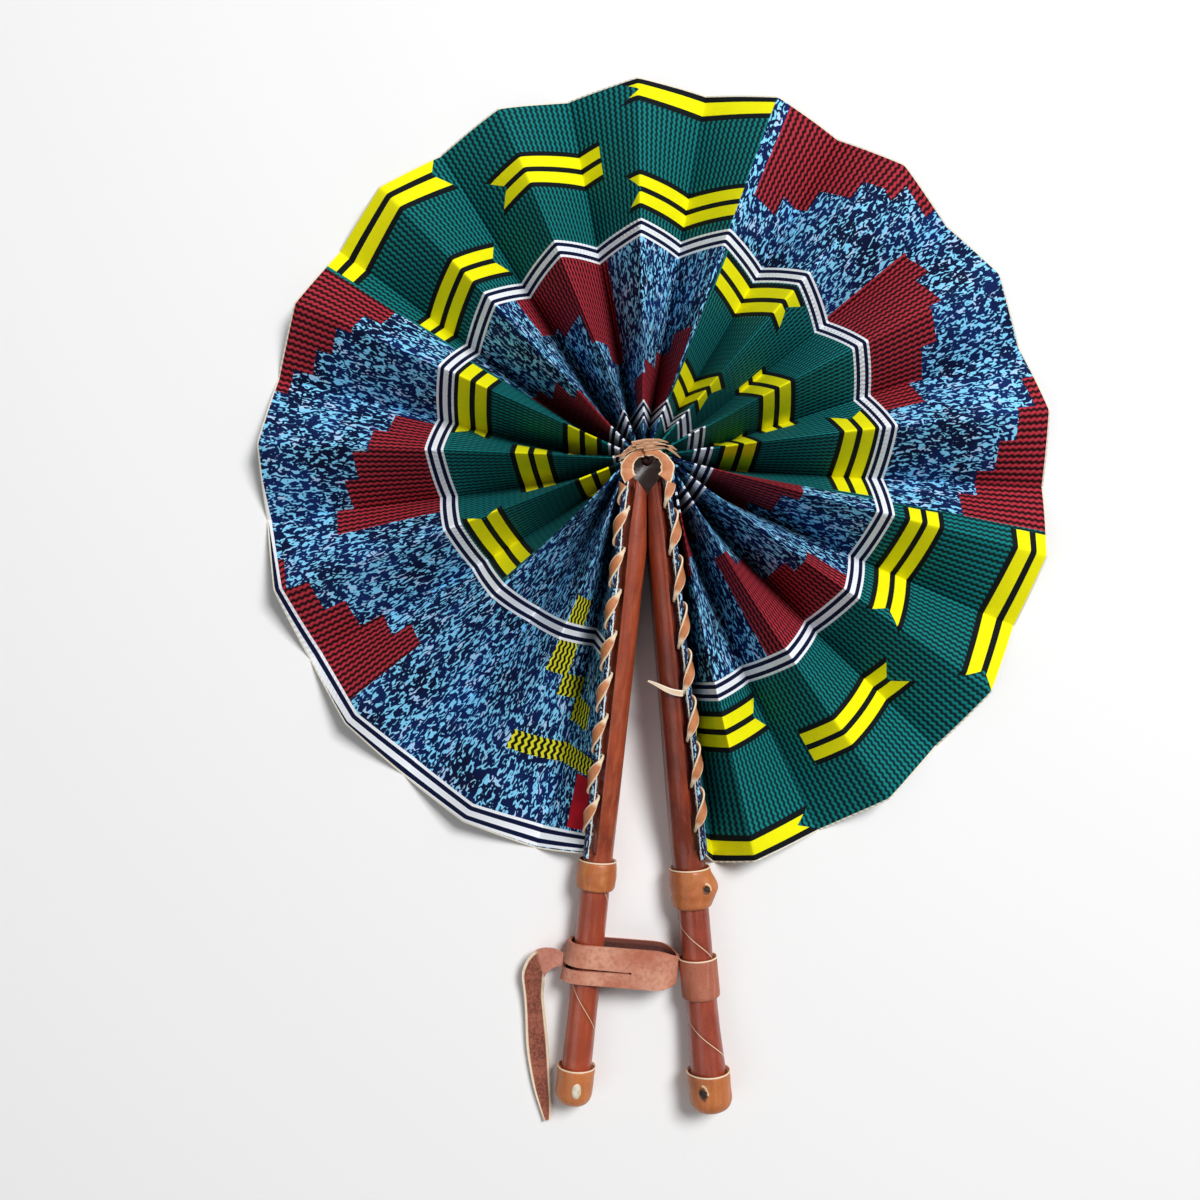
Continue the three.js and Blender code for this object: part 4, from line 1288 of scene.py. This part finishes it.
@dataclass
class Stick:
    """One guard: leather sleeve, grip, collar, cap, hem and side lacing."""

    shop: Workshop
    guard: Guard
    hem_over: float = 2.0  # the hem runs on this far past the lacing
    lace_width: float = 4.4
    lace_narrow: float = 1.0  # the lace's width where it ends in a tip on the leather
    lace_lag: float = 0.3
    lace_taper: float = 0.8
    lace_thick: float = 0.9
    lace_slack: float = 0.5
    lace_lean: float = 0.92
    lace_steps: int = 40
    knot_angle: float = 25.0
    knot_spread: float = 40.0
    collar_roll: float = 0.5
    cap_rounding: float = 5.0
    cap_seat: float = 3.0
    thread_radius: float = 0.24

    def build(self) -> None:
        """Build and dress every piece of the stick."""
        self.sleeve()
        self.grip()
        self.collar()
        self.cap()
        self.hem()
        self.lacing()
        core = frame["nodes"][f"{self.guard.name}_stick_core"]
        core.data.materials.clear()
        core.data.materials.append(self.shop.finishes.material("wood"))

    def tube(self, stations: Sequence[float]) -> bmesh.types.BMesh:
        """Roll leather round the stick between stations."""
        guard = self.guard
        outlines = {s: guard.outline(s) for s in stations}
        around: dict[float, list[float]] = {}
        for s, outline in outlines.items():
            steps = [(there - here).length for here, there in zip(outline, outline[1:])]
            around[s] = [100 * sum(steps[:i]) / sum(steps) for i in range(len(outline))]

        def place(column: float, s: float) -> Vector:
            """Return a point of the leather."""
            spot = outlines[s][int(column)]
            return guard.slanted(spot.x, s, spot.y)

        def chart(column: float, s: float) -> tuple[float, float]:
            """Return the share of the turn round the stick, in hundredths, and the place down it."""
            return around[s][int(column)], s

        return self.shop.sheet(range(len(outlines[stations[0]])), stations, place, chart, rolled=True)

    def sleeve(self) -> None:
        """Build the blade's leather, closed over the top of the stick."""
        guard = self.guard
        end = (guard.collar[0] + guard.collar[1] - guard.gap) / 2
        mesh = self.tube(spread(guard.tip_outer, guard.bend_end, 16) + spread(guard.bend_end, end, 40)[1:])
        top = [edge for edge in mesh.edges if edge.is_boundary and edge.verts[0].co.y > -guard.bend_end]
        made = bmesh.ops.holes_fill(mesh, edges=top, sides=0)
        bmesh.ops.triangulate(mesh, faces=made["faces"])
        self.shop.thicken(mesh, guard.sleeve)
        name = f"{guard.name}_stick_sleeve"
        self.shop.piece(mesh, f"{guard.name}_blade_leather", f"{guard.name}_blade", [name])

    def grip(self) -> None:
        """Build the grip's leather, wound with a slanting seam."""
        guard = self.guard
        start = (guard.collar[0] + guard.collar[1] + guard.gap) / 2
        mesh = self.tube(spread(start, guard.cap[0] + self.cap_seat, 30))
        self.shop.thicken(mesh, guard.sleeve)
        name = f"{guard.name}_grip"
        self.shop.piece(mesh, f"{guard.name}_grip_leather", f"{guard.name}_grip", [name])

    def collar(self) -> None:
        """Build the collar over the joint of blade and grip, with a knot on the right one."""
        guard = self.guard
        start, end = guard.collar

        def place(turn: float, s: float) -> Vector:
            """Return a point of the collar's outside."""
            share = clamp((s - start) / (end - start))
            bulge = math.sin(math.pi * share)
            turned = abs(math.degrees(turn) - self.knot_angle)
            away = min(turned, 360 - turned) / self.knot_spread
            knot = guard.knot * max(0.0, 1 - away ** 2) * bulge
            wrinkle = 0.3 * noise.noise(Vector((math.cos(turn) * 2.0, math.sin(turn) * 2.0, s / 2.5)))
            swell = bulge * (guard.collar_swell + knot) + wrinkle + rolled_edge(share, self.collar_roll)
            return guard.ring(s, turn, guard.half_width(s) + guard.gap + guard.band + swell)

        ends = [0.0, 0.02, 0.05, 0.09]
        shares = ends + spread(0.15, 0.85, 12) + [1 - share for share in reversed(ends)]
        stations = [lerp(start, end, share) for share in shares]
        mesh = self.shop.sheet(spread(0.0, 2 * math.pi, 48), stations, place, round_map, rolled=True)
        self.shop.thicken(mesh, guard.band - 0.1)
        name = f"{guard.name}_collar"
        self.shop.piece(mesh, f"{guard.name}_collar_leather", "tan" if guard is LEFT else "knotted", [name])
        self.thread(start, 0.25, f"{guard.name}_collar_thread", f"{guard.name}_collar")

    def thread(self, s: float, tilt: float, name: str, node: str) -> None:
        """Lay a pale thread round the stick along the edge of a band."""
        guard = self.guard
        radius = guard.half_width(s) + guard.gap + guard.band - 0.15
        path = []
        for turn in spread(0.0, 2 * math.pi, 48):
            spot = guard.ring(s + tilt * math.cos(turn) - 0.1, turn, radius)
            path.append(Vector((spot.x, spot.y, max(spot.z, self.thread_radius))))
        normals = [Vector((0.0, -1.0, 0.0)) for _ in path]
        mesh = self.shop.strip(path, normals, [2 * self.thread_radius] * len(path), 2 * self.thread_radius)
        self.shop.piece(mesh, name, "thread", body=self.shop.bodies[node])

    def cap(self) -> None:
        """Build the leather cup over the end of the grip."""
        guard = self.guard
        start, end = guard.cap
        outside = guard.half_width(start) + guard.gap + guard.band
        rounding = self.cap_rounding
        rows = [(start, outside - 0.25), (start + 0.4, outside)]
        rows += [(s, outside) for s in spread(start + 1, end - rounding, 6)]
        for turn in spread(0.0, math.pi / 2, 10)[1:]:
            rows.append((end - rounding + rounding * math.sin(turn),
                         outside - rounding + rounding * math.cos(turn)))
        rows += [(end, share * (outside - rounding)) for share in (0.75, 0.5, 0.25, 0.02)]

        def place(turn: float, row: float) -> Vector:
            """Return a point of the cap's outside."""
            s, radius = rows[int(row)]
            share = clamp((s - start) / (end - start))
            wrinkle = noise.noise(Vector((math.cos(turn) * 1.6, math.sin(turn) * 1.6, s / 4.0 + guard.side)))
            return guard.ring(s, turn, radius + (0.25 * wrinkle - 0.2) * min(share * 3, 1) * radius / outside)

        mesh = self.shop.sheet(spread(0.0, 2 * math.pi, 48), range(len(rows)), place,
                               lambda turn, row: round_map(turn, rows[int(row)][0]), rolled=True)
        bmesh.ops.holes_fill(mesh, edges=[edge for edge in mesh.edges
                                          if edge.is_boundary and self.near_end(edge, end)], sides=0)
        bmesh.ops.recalc_face_normals(mesh, faces=mesh.faces)
        self.shop.thicken(mesh, guard.band - 0.1)
        name = f"{guard.name}_end_cap"
        self.shop.piece(mesh, f"{guard.name}_cap_leather", "tan" if guard is LEFT else "holed", [name])
        self.thread(start, 0.4, f"{guard.name}_cap_thread", f"{guard.name}_end_cap")

    def near_end(self, edge: bmesh.types.BMEdge, end: float) -> bool:
        """Tell whether an edge is at the closed end of the cap."""
        tip = self.guard.point(self.guard.middle(end), end, 0.0)
        return all((vert.co.xy - tip.xy).length < 2.0 for vert in edge.verts)

    def hem(self) -> None:
        """Build the rolled edge of the cloth under the lace."""
        guard = self.guard
        stations = spread(guard.hem_start, guard.hem_end + self.hem_over, 150)

        def place(turn: float, s: float) -> Vector:
            """Return a point of the hem, which swells between the stitches."""
            centre = guard.hem_middle(s)
            phase = 2 * math.pi * (s - guard.lace_start) / guard.lace_pitch
            uneven = 0.06 * noise.noise(Vector((s, turn, 0)))
            radius = guard.hem_radius * (1.0 - 0.1 * math.cos(phase) + uneven)
            return guard.point(centre.x + radius * math.cos(turn), s, centre.y + radius * math.sin(turn))

        mesh = self.shop.sheet(spread(0.0, 2 * math.pi, 16), stations, place, round_map, rolled=True)
        self.shop.close(mesh)
        name = f"{guard.name}_cloth_hem"
        self.shop.piece(mesh, f"{guard.name}_rolled_hem", "hem", [name])

    def lacing(self) -> None:
        """Wind the lace round the hem."""
        guard = self.guard
        reach = guard.hem_radius + self.lace_slack + self.lace_thick / 2
        path, normals, widths = [], [], []
        turns = spread(0.0, 2 * math.pi * guard.lace_turns, round(guard.lace_turns * self.lace_steps))
        for turn in turns:
            angle = math.radians(guard.hem_tilt) + guard.side * turn
            s = guard.lace_start + guard.lace_pitch * (turn + self.lace_lean * math.sin(turn)) / (2 * math.pi)
            hem = guard.hem_middle(s)
            on_hem = guard.point(hem.x, s, hem.y)
            path.append(guard.point(hem.x + reach * math.cos(angle), s, hem.y + reach * math.sin(angle)))
            normals.append((path[-1] - on_hem).normalized())
            leaf = max(0.0, math.cos(((guard.side * turn + math.pi) % (2 * math.pi) - math.pi + self.lace_lag)
                                     * self.lace_taper))
            ragged = 0.5 * noise.noise(Vector((turn / 2, 0, guard.side)))
            widths.append(lerp(self.lace_narrow, self.lace_width + ragged, leaf))
        marks = [guard.side * 100 * turn / (2 * math.pi) for turn in turns]
        mesh = self.shop.strip(path, normals, widths, self.lace_thick, marks)
        name = f"{guard.name}_side_lace"
        self.shop.piece(mesh, f"{guard.name}_wound_lace", "wound", [name])


@dataclass
class HubLacing:
    """The laces round the hub, the tie in its hole and the loose end across the right stick."""

    shop: Workshop
    width: float = 5.2
    arch: float = 0.55  # at the top of the hole each lace keeps this share of its width
    thick: float = 0.9
    overhang: float = 2.1
    low: float = 8.0
    past: float = 6.0
    leg: float = 42.0  # degrees that each lace runs on down the side of the hole
    leg_steps: int = 60
    strays: tuple[tuple[tuple[float, float], ...], ...] = (
        ((3.5, 3.4), (-2.0, 3.9), (-7.0, 2.2), (-10.5, -0.8), (-14.0, -1.6)),
        ((2.0, 2.2), (-4.0, 2.6), (-8.0, 0.6), (-12.0, -3.6)),
        ((-5.0, 2.4), (1.0, 3.6), (6.0, 2.8), (9.5, 0.2), (12.5, -2.4)),
        ((-2.0, 1.6), (4.0, 2.4), (8.5, 2.4), (11.0, 0.8)),
        ((-6.5, 3.4), (-1.0, 4.6), (4.0, 4.9), (8.0, 3.8)))
    lift_left: float = 1.6  # how high each lace's strands lie over it, in thicknesses
    lift_right: float = 2.2
    tie_radius: float = 1.3
    tie_half_width: float = 1.1
    tie_half_height: float = 2.0
    end_root: tuple[float, float] = (2.4, 92.0)  # the loose end's root and tip, across and down the stick
    end_tip: tuple[float, float] = (-10.5, 86.0)
    end_steps: int = 24

    def build(self) -> None:
        """Build the laces and the tie."""
        height = FOLDS.panel + 0.3 + self.thick / 2
        self.arc("left", 180 - self.low + self.leg, 90 - self.past, height)
        self.arc("right", self.low - self.leg, 90 + self.past, height + self.thick + 0.3)
        for number, stray in enumerate(self.strays, 1):
            side, lift = ("left", self.lift_left) if stray[-1][0] < 0 else ("right", self.lift_right)
            self.stray(number, stray, height + self.thick * lift, side)
        self.tie()
        self.loose_end()

    def arc(self, side: str, start: float, end: float, height: float) -> None:
        """Lay a lace over the inner ends of the ridges."""
        path, widths = [], []
        for turn in spread(math.radians(start), math.radians(end), self.leg_steps):
            ragged = noise.noise(Vector((turn * 3.0, len(side), 0.0)))
            path.append(Vector((FOLDS.hole_shift + (FOLDS.hole_half_width - self.overhang) * math.cos(turn),
                                (FOLDS.hole_half_height - self.overhang) * math.sin(turn) - FOLDS.hole_drop,
                                height + 0.25 * ragged)))
            up = clamp(math.sin(turn))
            widths.append(self.width * (lerp(1.0, self.arch, up) + 0.25 * ragged))
        normals = [Vector((0.0, 0.0, 1.0))] * len(path)
        mesh = self.shop.strip(path, normals, widths, self.thick)
        self.shop.piece(mesh, f"hub_thong_{side}", "lace", [f"hub_lace_{side}"])

    def stray(self, number: int, corners: Sequence[tuple[float, float]], height: float, side: str) -> None:
        """Lay a thin torn strand of lace over the crossing.

        Args:
            number: The strand's number.
            corners: The points it runs through, from the hub.
            height: How high it lies.
            side: The lace that it is torn from.
        """
        path = []
        for (x0, y0), (x1, y1) in zip(corners, corners[1:]):
            path += [Vector((lerp(x0, x1, i / 6), lerp(y0, y1, i / 6), height)) for i in range(6)]
        widths = [lerp(2.0, 0.3, (i / (len(path) - 1)) ** 1.5) for i in range(len(path))]
        mesh = self.shop.strip(path, [Vector((0.0, 0.0, 1.0))] * len(path), widths, self.thick / 2)
        self.shop.piece(mesh, f"hub_strand_{number}", "strand", body=self.shop.bodies[f"hub_lace_{side}"])

    def tie(self) -> None:
        """Turn the knot of lace in the hole."""
        def place(turn: float, around: float) -> Vector:
            """Return a point of the knot."""
            reach = self.tie_radius + self.tie_half_width * math.cos(around)
            z = FOLDS.panel / 2 + self.tie_half_height * math.sin(around)
            return Vector((reach * math.cos(turn), reach * math.sin(turn), z))

        mesh = self.shop.sheet(spread(0.0, 2 * math.pi, 40), spread(0.0, 2 * math.pi, 20), place,
                               lambda turn, around: (50 + 8 * turn, 5 * around), rolled=True)
        self.shop.piece(mesh, "hub_knot", "knot", ["hub_tie"])

    def loose_end(self) -> None:
        """Lay the loose end of the right lace across its stick."""
        clear = self.thick / 2 + 0.5
        (root_t, root_s), (tip_t, tip_s) = self.end_root, self.end_tip
        root = RIGHT.point(RIGHT.middle(root_s) + root_t, root_s, FOLDS.open_height(root_s) + clear)
        tip = RIGHT.point(RIGHT.middle(tip_s) + tip_t, tip_s, FOLDS.open_height(tip_s) + clear + 0.5)
        path = []
        for share in spread(0.0, 1.0, self.end_steps):
            sag = Vector((0.0, -1.4 * math.sin(math.pi * share) * (1 - share), 0.0))
            path.append(root.lerp(tip, share) + sag)
        widths = [lerp(2.4, 0.7, (i / self.end_steps) ** 2) for i in range(len(path))]
        mesh = self.shop.strip(path, [Vector((0.0, 0.0, 1.0))] * len(path), widths, self.thick)
        self.shop.piece(mesh, "loose_lace_end", "cream", ["right_lace_end"])


@dataclass
class Strap:
    """The leather strap: a band on the right grip, a flat loop round the left one and a hanging tail."""

    shop: Workshop
    width: float = 15.0
    thick: float = 1.1
    at: float = 204.5
    travel: float = 8.0
    tilt: float = -4.5
    drop: float = 6.0
    room: float = 2.2
    slit: float = 26.5  # from the loop's left end, where it is open
    slit_width: float = 1.0
    slit_share: float = 0.62
    slit_shut: float = 0.4  # its width where it has closed up, and at its open end
    slit_open: float = 2.4
    taper: float = 0.36  # how much narrower the loop is at its right end
    skew: float = 1.1  # the lower half of the left end reaches this much further out
    band_roll: float = 0.35
    closed_gap: float = 3.0  # the loop and tail lie this far from the right grip in the closed fan
    closed_keep: float = 0.05
    tail: tuple[tuple[float, ...], ...] = (
        (0, 0.4, 0, 90, 4.6), (-4.5, 0.6, -0.5, 90, 7.6), (-9.5, -1.8, -1.4, 108, 10.6),
        (-12, -7.4, -2.8, 145, 10.2), (-12, -14, -4.4, 172, 7.6), (-11.4, -22, -5.4, 180, 7.6),
        (-10.4, -36, -6.1, 184, 8.4), (-8.9, -49.6, -6.3, 188, 6.6), (-7.4, -58.4, -6.3, 192, 4.2),
        (-6.6, -64, -6.3, 195, 1.6))

    def build(self) -> None:
        """Build the three pieces of the strap."""
        self.band()
        end = self.loop()
        self.hanging(end)

    def band(self) -> None:
        """Build the band round the right grip."""
        guard = RIGHT
        start, end = self.at - self.width / 2, self.at + self.width / 2
        inside = guard.half_width(end + self.travel) + guard.gap

        def place(turn: float, s: float) -> Vector:
            """Return a point of the band's outside."""
            rolled = rolled_edge((s - start) / (end - start), self.band_roll)
            return guard.ring(s, turn, inside + self.thick + rolled)

        shares = (0, 0.02, 0.05, 0.1, 0.3, 0.5, 0.7, 0.9, 0.95, 0.98, 1)
        stations = [lerp(start, end, share) for share in shares]
        mesh = self.shop.sheet(spread(0.0, 2 * math.pi, 48), stations, place, round_map, rolled=True)
        self.shop.thicken(mesh, self.thick)
        self.shop.piece(mesh, "strap_band", "strap_band", ["strap_sleeve"])
        Stick(self.shop, RIGHT).thread(start, 0.2, "strap_band_thread", "strap_sleeve")

    def loop(self) -> Vector:
        """Build the flat loop with its slit.

        Returns:
            The middle of the loop's left end, where the tail starts.
        """
        s = self.at - self.drop
        left = LEFT.point(LEFT.middle(s), s, 0.0)
        right = RIGHT.point(RIGHT.middle(self.at), self.at, 0.0)
        gap = LEFT.gap
        low, high = LEFT.lift - gap, LEFT.lift + 2 * LEFT.half_width(s) + 2 * gap
        start = left.x - LEFT.half_width(s) - self.room - self.thick
        end = right.x - RIGHT.half_width(self.at) - self.thick - 4 * gap
        radius = (high - low) / 2 + self.thick
        level = (high + low) / 2
        front = spread(start + radius, start + self.slit, 12)
        profile: list[tuple[float, float]] = []
        for turn in spread(math.pi / 2, 3 * math.pi / 2, 20):
            profile.append((start + radius + radius * math.cos(turn), level + radius * math.sin(turn)))
        profile += [(x, level - radius) for x in spread(start + radius, end - radius, 12)[1:-1]]
        for turn in spread(-math.pi / 2, math.pi / 2, 20):
            profile.append((end - radius + radius * math.cos(turn), level + radius * math.sin(turn)))
        profile += [(x, level + radius) for x in spread(end - radius, front[-1], 12)[1:-1]]
        profile += [(x, level + radius) for x in reversed(front)]
        middle = self.width * (self.slit_share - 0.5)
        rows = sorted({*spread(-self.width / 2, middle - self.slit_width / 2, 8),
                       *spread(middle + self.slit_width / 2, self.width / 2, 6)})
        turn_about = Matrix.Rotation(math.radians(self.tilt), 3, "Z")

        def place(column: float, across: float) -> Vector:
            """Return a point of the loop's outside."""
            x, z = profile[int(column)]
            along_slit = clamp((x - start) / self.slit)
            gap_here = lerp(self.slit_open, self.slit_shut, along_slit ** 0.4) if along_slit < 1 else 0.0
            shift = (gap_here - self.slit_width) / 2 * math.exp(-abs(across - middle) / 2.5)
            if z > level and x < start + self.slit:
                across += shift if across > middle else -shift
            near_end = clamp((x - end + 10) / 10) ** 2
            out = self.skew * lerp(-1, 1, across / self.width + 0.5) * (1 - clamp((x - start) / 14)) ** 2
            spot = Vector((x - out - left.x, -across * (1 - self.taper * near_end), 0))
            return turn_about @ spot + Vector((left.x, left.y, z))

        lengths = [0.0]
        for (x0, z0), (x1, z1) in zip(profile, profile[1:]):
            lengths.append(lengths[-1] + math.hypot(x1 - x0, z1 - z0))

        def chart(column: float, across: float) -> tuple[float, float]:
            """Return the place across and round the loop."""
            return 50 + 100 * across / self.width, lengths[int(column)]

        def in_slit(column: float, across: float) -> bool:
            """Tell whether a cell of the loop is cut out for the slit."""
            x, z = ((a + b) / 2 for a, b in zip(profile[int(column)], profile[int(column) + 1]))
            return abs(across - middle) < self.slit_width / 2 and z > level and x < start + self.slit

        mesh = self.shop.sheet(range(len(profile)), rows, place, chart, rolled=True, slit=in_slit)
        self.shop.thicken(mesh, self.thick, LINING)
        item = self.shop.piece(mesh, "strap_flat_loop", "strap", ["strap_loop"], lining="strap_inside")
        self.fold_away(item)
        return Vector((start, left.y, level))

    def hanging(self, start: Vector) -> None:
        """Build the free end: out of the loop, folded over, and down to its point."""
        rows = self.tail
        count = 56

        def row_at(place: float) -> list[float]:
            """Return a row of the tail's table between its rows, on a smooth curve."""
            i = min(int(place), len(rows) - 2)
            part = place - i
            before, here, there, after = (rows[int(clamp(i + k, 0, len(rows) - 1))] for k in (-1, 0, 1, 2))
            return [smooth_between(a, b, c, d, part) for a, b, c, d in zip(before, here, there, after)]

        def place(across: float, step: float) -> Vector:
            """Return a point of the tail."""
            x, y, z, turn, width = row_at(step * (len(rows) - 1) / count)
            angle = math.radians(turn)
            side = Vector((math.cos(angle), math.sin(angle), 0.0))
            curl = 0.5 * (abs(across) ** 2) * min(1.0, step / 20)
            centre = start + Vector((x - 0.3, y, z + self.thick / 2))
            return centre + side * (across * width / 2) + Vector((0.0, 0.0, curl))

        def chart(across: float, step: float) -> tuple[float, float]:
            """Return the place across and along the tail."""
            return 50 + 50 * across, 78 * step / count

        mesh = self.shop.sheet((-1, -0.9, -0.6, -0.3, 0, 0.3, 0.6, 0.9, 1), range(count + 1), place, chart)
        self.shop.face_up(mesh)
        self.shop.thicken(mesh, self.thick)
        item = self.shop.piece(mesh, "strap_free_end", "tail", ["strap_tail"])
        self.fold_away(item)

    def fold_away(self, item: bpy.types.Object) -> None:
        """Find the point by the right grip where the closed fan would hold a piece, and give the piece its own
        mesh.
        """
        right = RIGHT.point(RIGHT.middle(self.at) - RIGHT.half_width(self.at) - self.closed_gap, self.at, 0.0)
        anchor = self.shop.hub + right * MM
        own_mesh(item)


@dataclass
class CapPlug:
    """The pale plug in the left cap."""

    shop: Workshop
    plug_t: float = -0.8
    plug_s: float = 246.5
    plug_half_across: float = 1.9
    plug_half_along: float = 3.2

    def build(self) -> None:
        """Build the domed plug."""
        guard = LEFT
        top = guard.lift + 2 * guard.half_width(guard.cap[1]) + guard.gap
        low, high = top - guard.band, top + guard.band + 0.5
        rows = [(0.0, low), (1.0, low), (1.0, high - 1.2), (0.93, high - 0.7), (0.78, high - 0.35),
                (0.5, high - 0.1), (0.2, high), (0.0, high)]

        def place(turn: float, row: float) -> Vector:
            """Return a point of the plug."""
            reach, z = rows[int(row)]
            t = guard.middle(self.plug_s) + self.plug_t + reach * self.plug_half_across * math.cos(turn)
            return guard.point(t, self.plug_s + reach * self.plug_half_along * math.sin(turn), z)

        mesh = self.shop.sheet(spread(0.0, 2 * math.pi, 28), range(len(rows)), place,
                               lambda turn, row: (16 * turn, row), rolled=True)
        self.shop.piece(mesh, "cap_plug", "horn", ["left_cap_peg"])


@dataclass
class Studio:
    """The camera, the lamps, the world and the floor."""

    place: tuple[float, float, float] = (-22.2, -11.1, 462.0)  # the camera's, in millimetres
    tilt: float = 3.01  # how far it looks up from straight down, in degrees
    reach: float = 1.889  # its distance from a plane as wide as the picture, in picture half widths
    lift: float = -0.0344  # the picture's middle lies this share of its width above the camera's line
    key_from: tuple[float, float, float] = (0.9, 0.9, 1.75)
    key_power: float = 46.0
    key_size: float = 0.75
    fill_from: tuple[float, float, float] = (-1.1, -0.7, 1.5)
    fill_power: float = 5.0
    fill_size: float = 1.2
    world_level: float = 0.17

    def build(self) -> None:
        """Set up everything that isn't part of the fan."""
        self.camera()
        self.lamp("key_lamp", self.key_from, self.key_power, self.key_size)
        self.lamp("fill_lamp", self.fill_from, self.fill_power, self.fill_size)
        self.world()
        self.floor()
        bpy.context.scene.view_settings.view_transform = "Standard"

    def camera(self) -> None:
        """Place the camera as the photograph has it."""
        data = bpy.data.cameras.new("camera")
        data.angle = 2 * math.atan(1 / self.reach)
        data.shift_y = self.lift
        camera = bpy.data.objects.new("camera", data)
        camera.location = Vector(self.place) * MM
        camera.rotation_euler.x = math.radians(self.tilt)
        bpy.context.scene.collection.objects.link(camera)
        bpy.context.scene.camera = camera

    def lamp(self, name: str, place: tuple[float, float, float], power: float, size: float) -> None:
        """Hang a soft square lamp that looks at the fan."""
        data = bpy.data.lights.new(name, "AREA")
        data.energy = power
        data.size = size
        lamp = bpy.data.objects.new(name, data)
        lamp.location = place
        lamp.rotation_euler = Vector(place).to_track_quat("Z", "Y").to_euler()
        bpy.context.scene.collection.objects.link(lamp)

    def world(self) -> None:
        """Light everything evenly, and show white where there is no floor."""
        world = bpy.data.worlds.new("world")
        bpy.context.scene.world = world
        world.use_nodes = True
        tree = world.node_tree
        background = tree.nodes["Background"]
        background.inputs["Color"].default_value = (1.0, 1.0, 1.0, 1.0)
        rays = tree.nodes.new("ShaderNodeLightPath")
        level = tree.nodes.new("ShaderNodeMapRange")
        level.inputs["To Min"].default_value = self.world_level
        level.inputs["To Max"].default_value = 1.0
        tree.links.new(rays.outputs["Is Camera Ray"], level.inputs["Value"])
        tree.links.new(level.outputs[0], background.inputs["Strength"])

    def floor(self) -> None:
        """Lay the pale floor, which shows nearly white and keeps the shadow."""
        mesh = bmesh.new()
        bmesh.ops.create_grid(mesh, x_segments=1, y_segments=1, size=4.0)
        data = bpy.data.meshes.new("floor")
        mesh.to_mesh(data)
        mesh.free()
        floor = bpy.data.objects.new("floor", data)
        bpy.context.scene.collection.objects.link(floor)
        graph = Graph("pale_floor")
        graph.dress(Base_Color=(0.93, 0.93, 0.93, 1.0), Roughness=0.9, Specular_IOR_Level=0.1)
        data.materials.append(graph.material)


def main() -> None:
    """Set up the studio, and build the fan piece by piece."""
    logging.basicConfig(level=logging.INFO, format="%(name)s: %(message)s")
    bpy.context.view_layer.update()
    Studio().build()
    shop = Workshop(Finishes())
    Cloth(shop).build()
    for guard in (LEFT, RIGHT):
        Stick(shop, guard).build()
    HubLacing(shop).build()
    Strap(shop).build()
    CapPlug(shop).build()


if __name__ == "__main__":
    main()
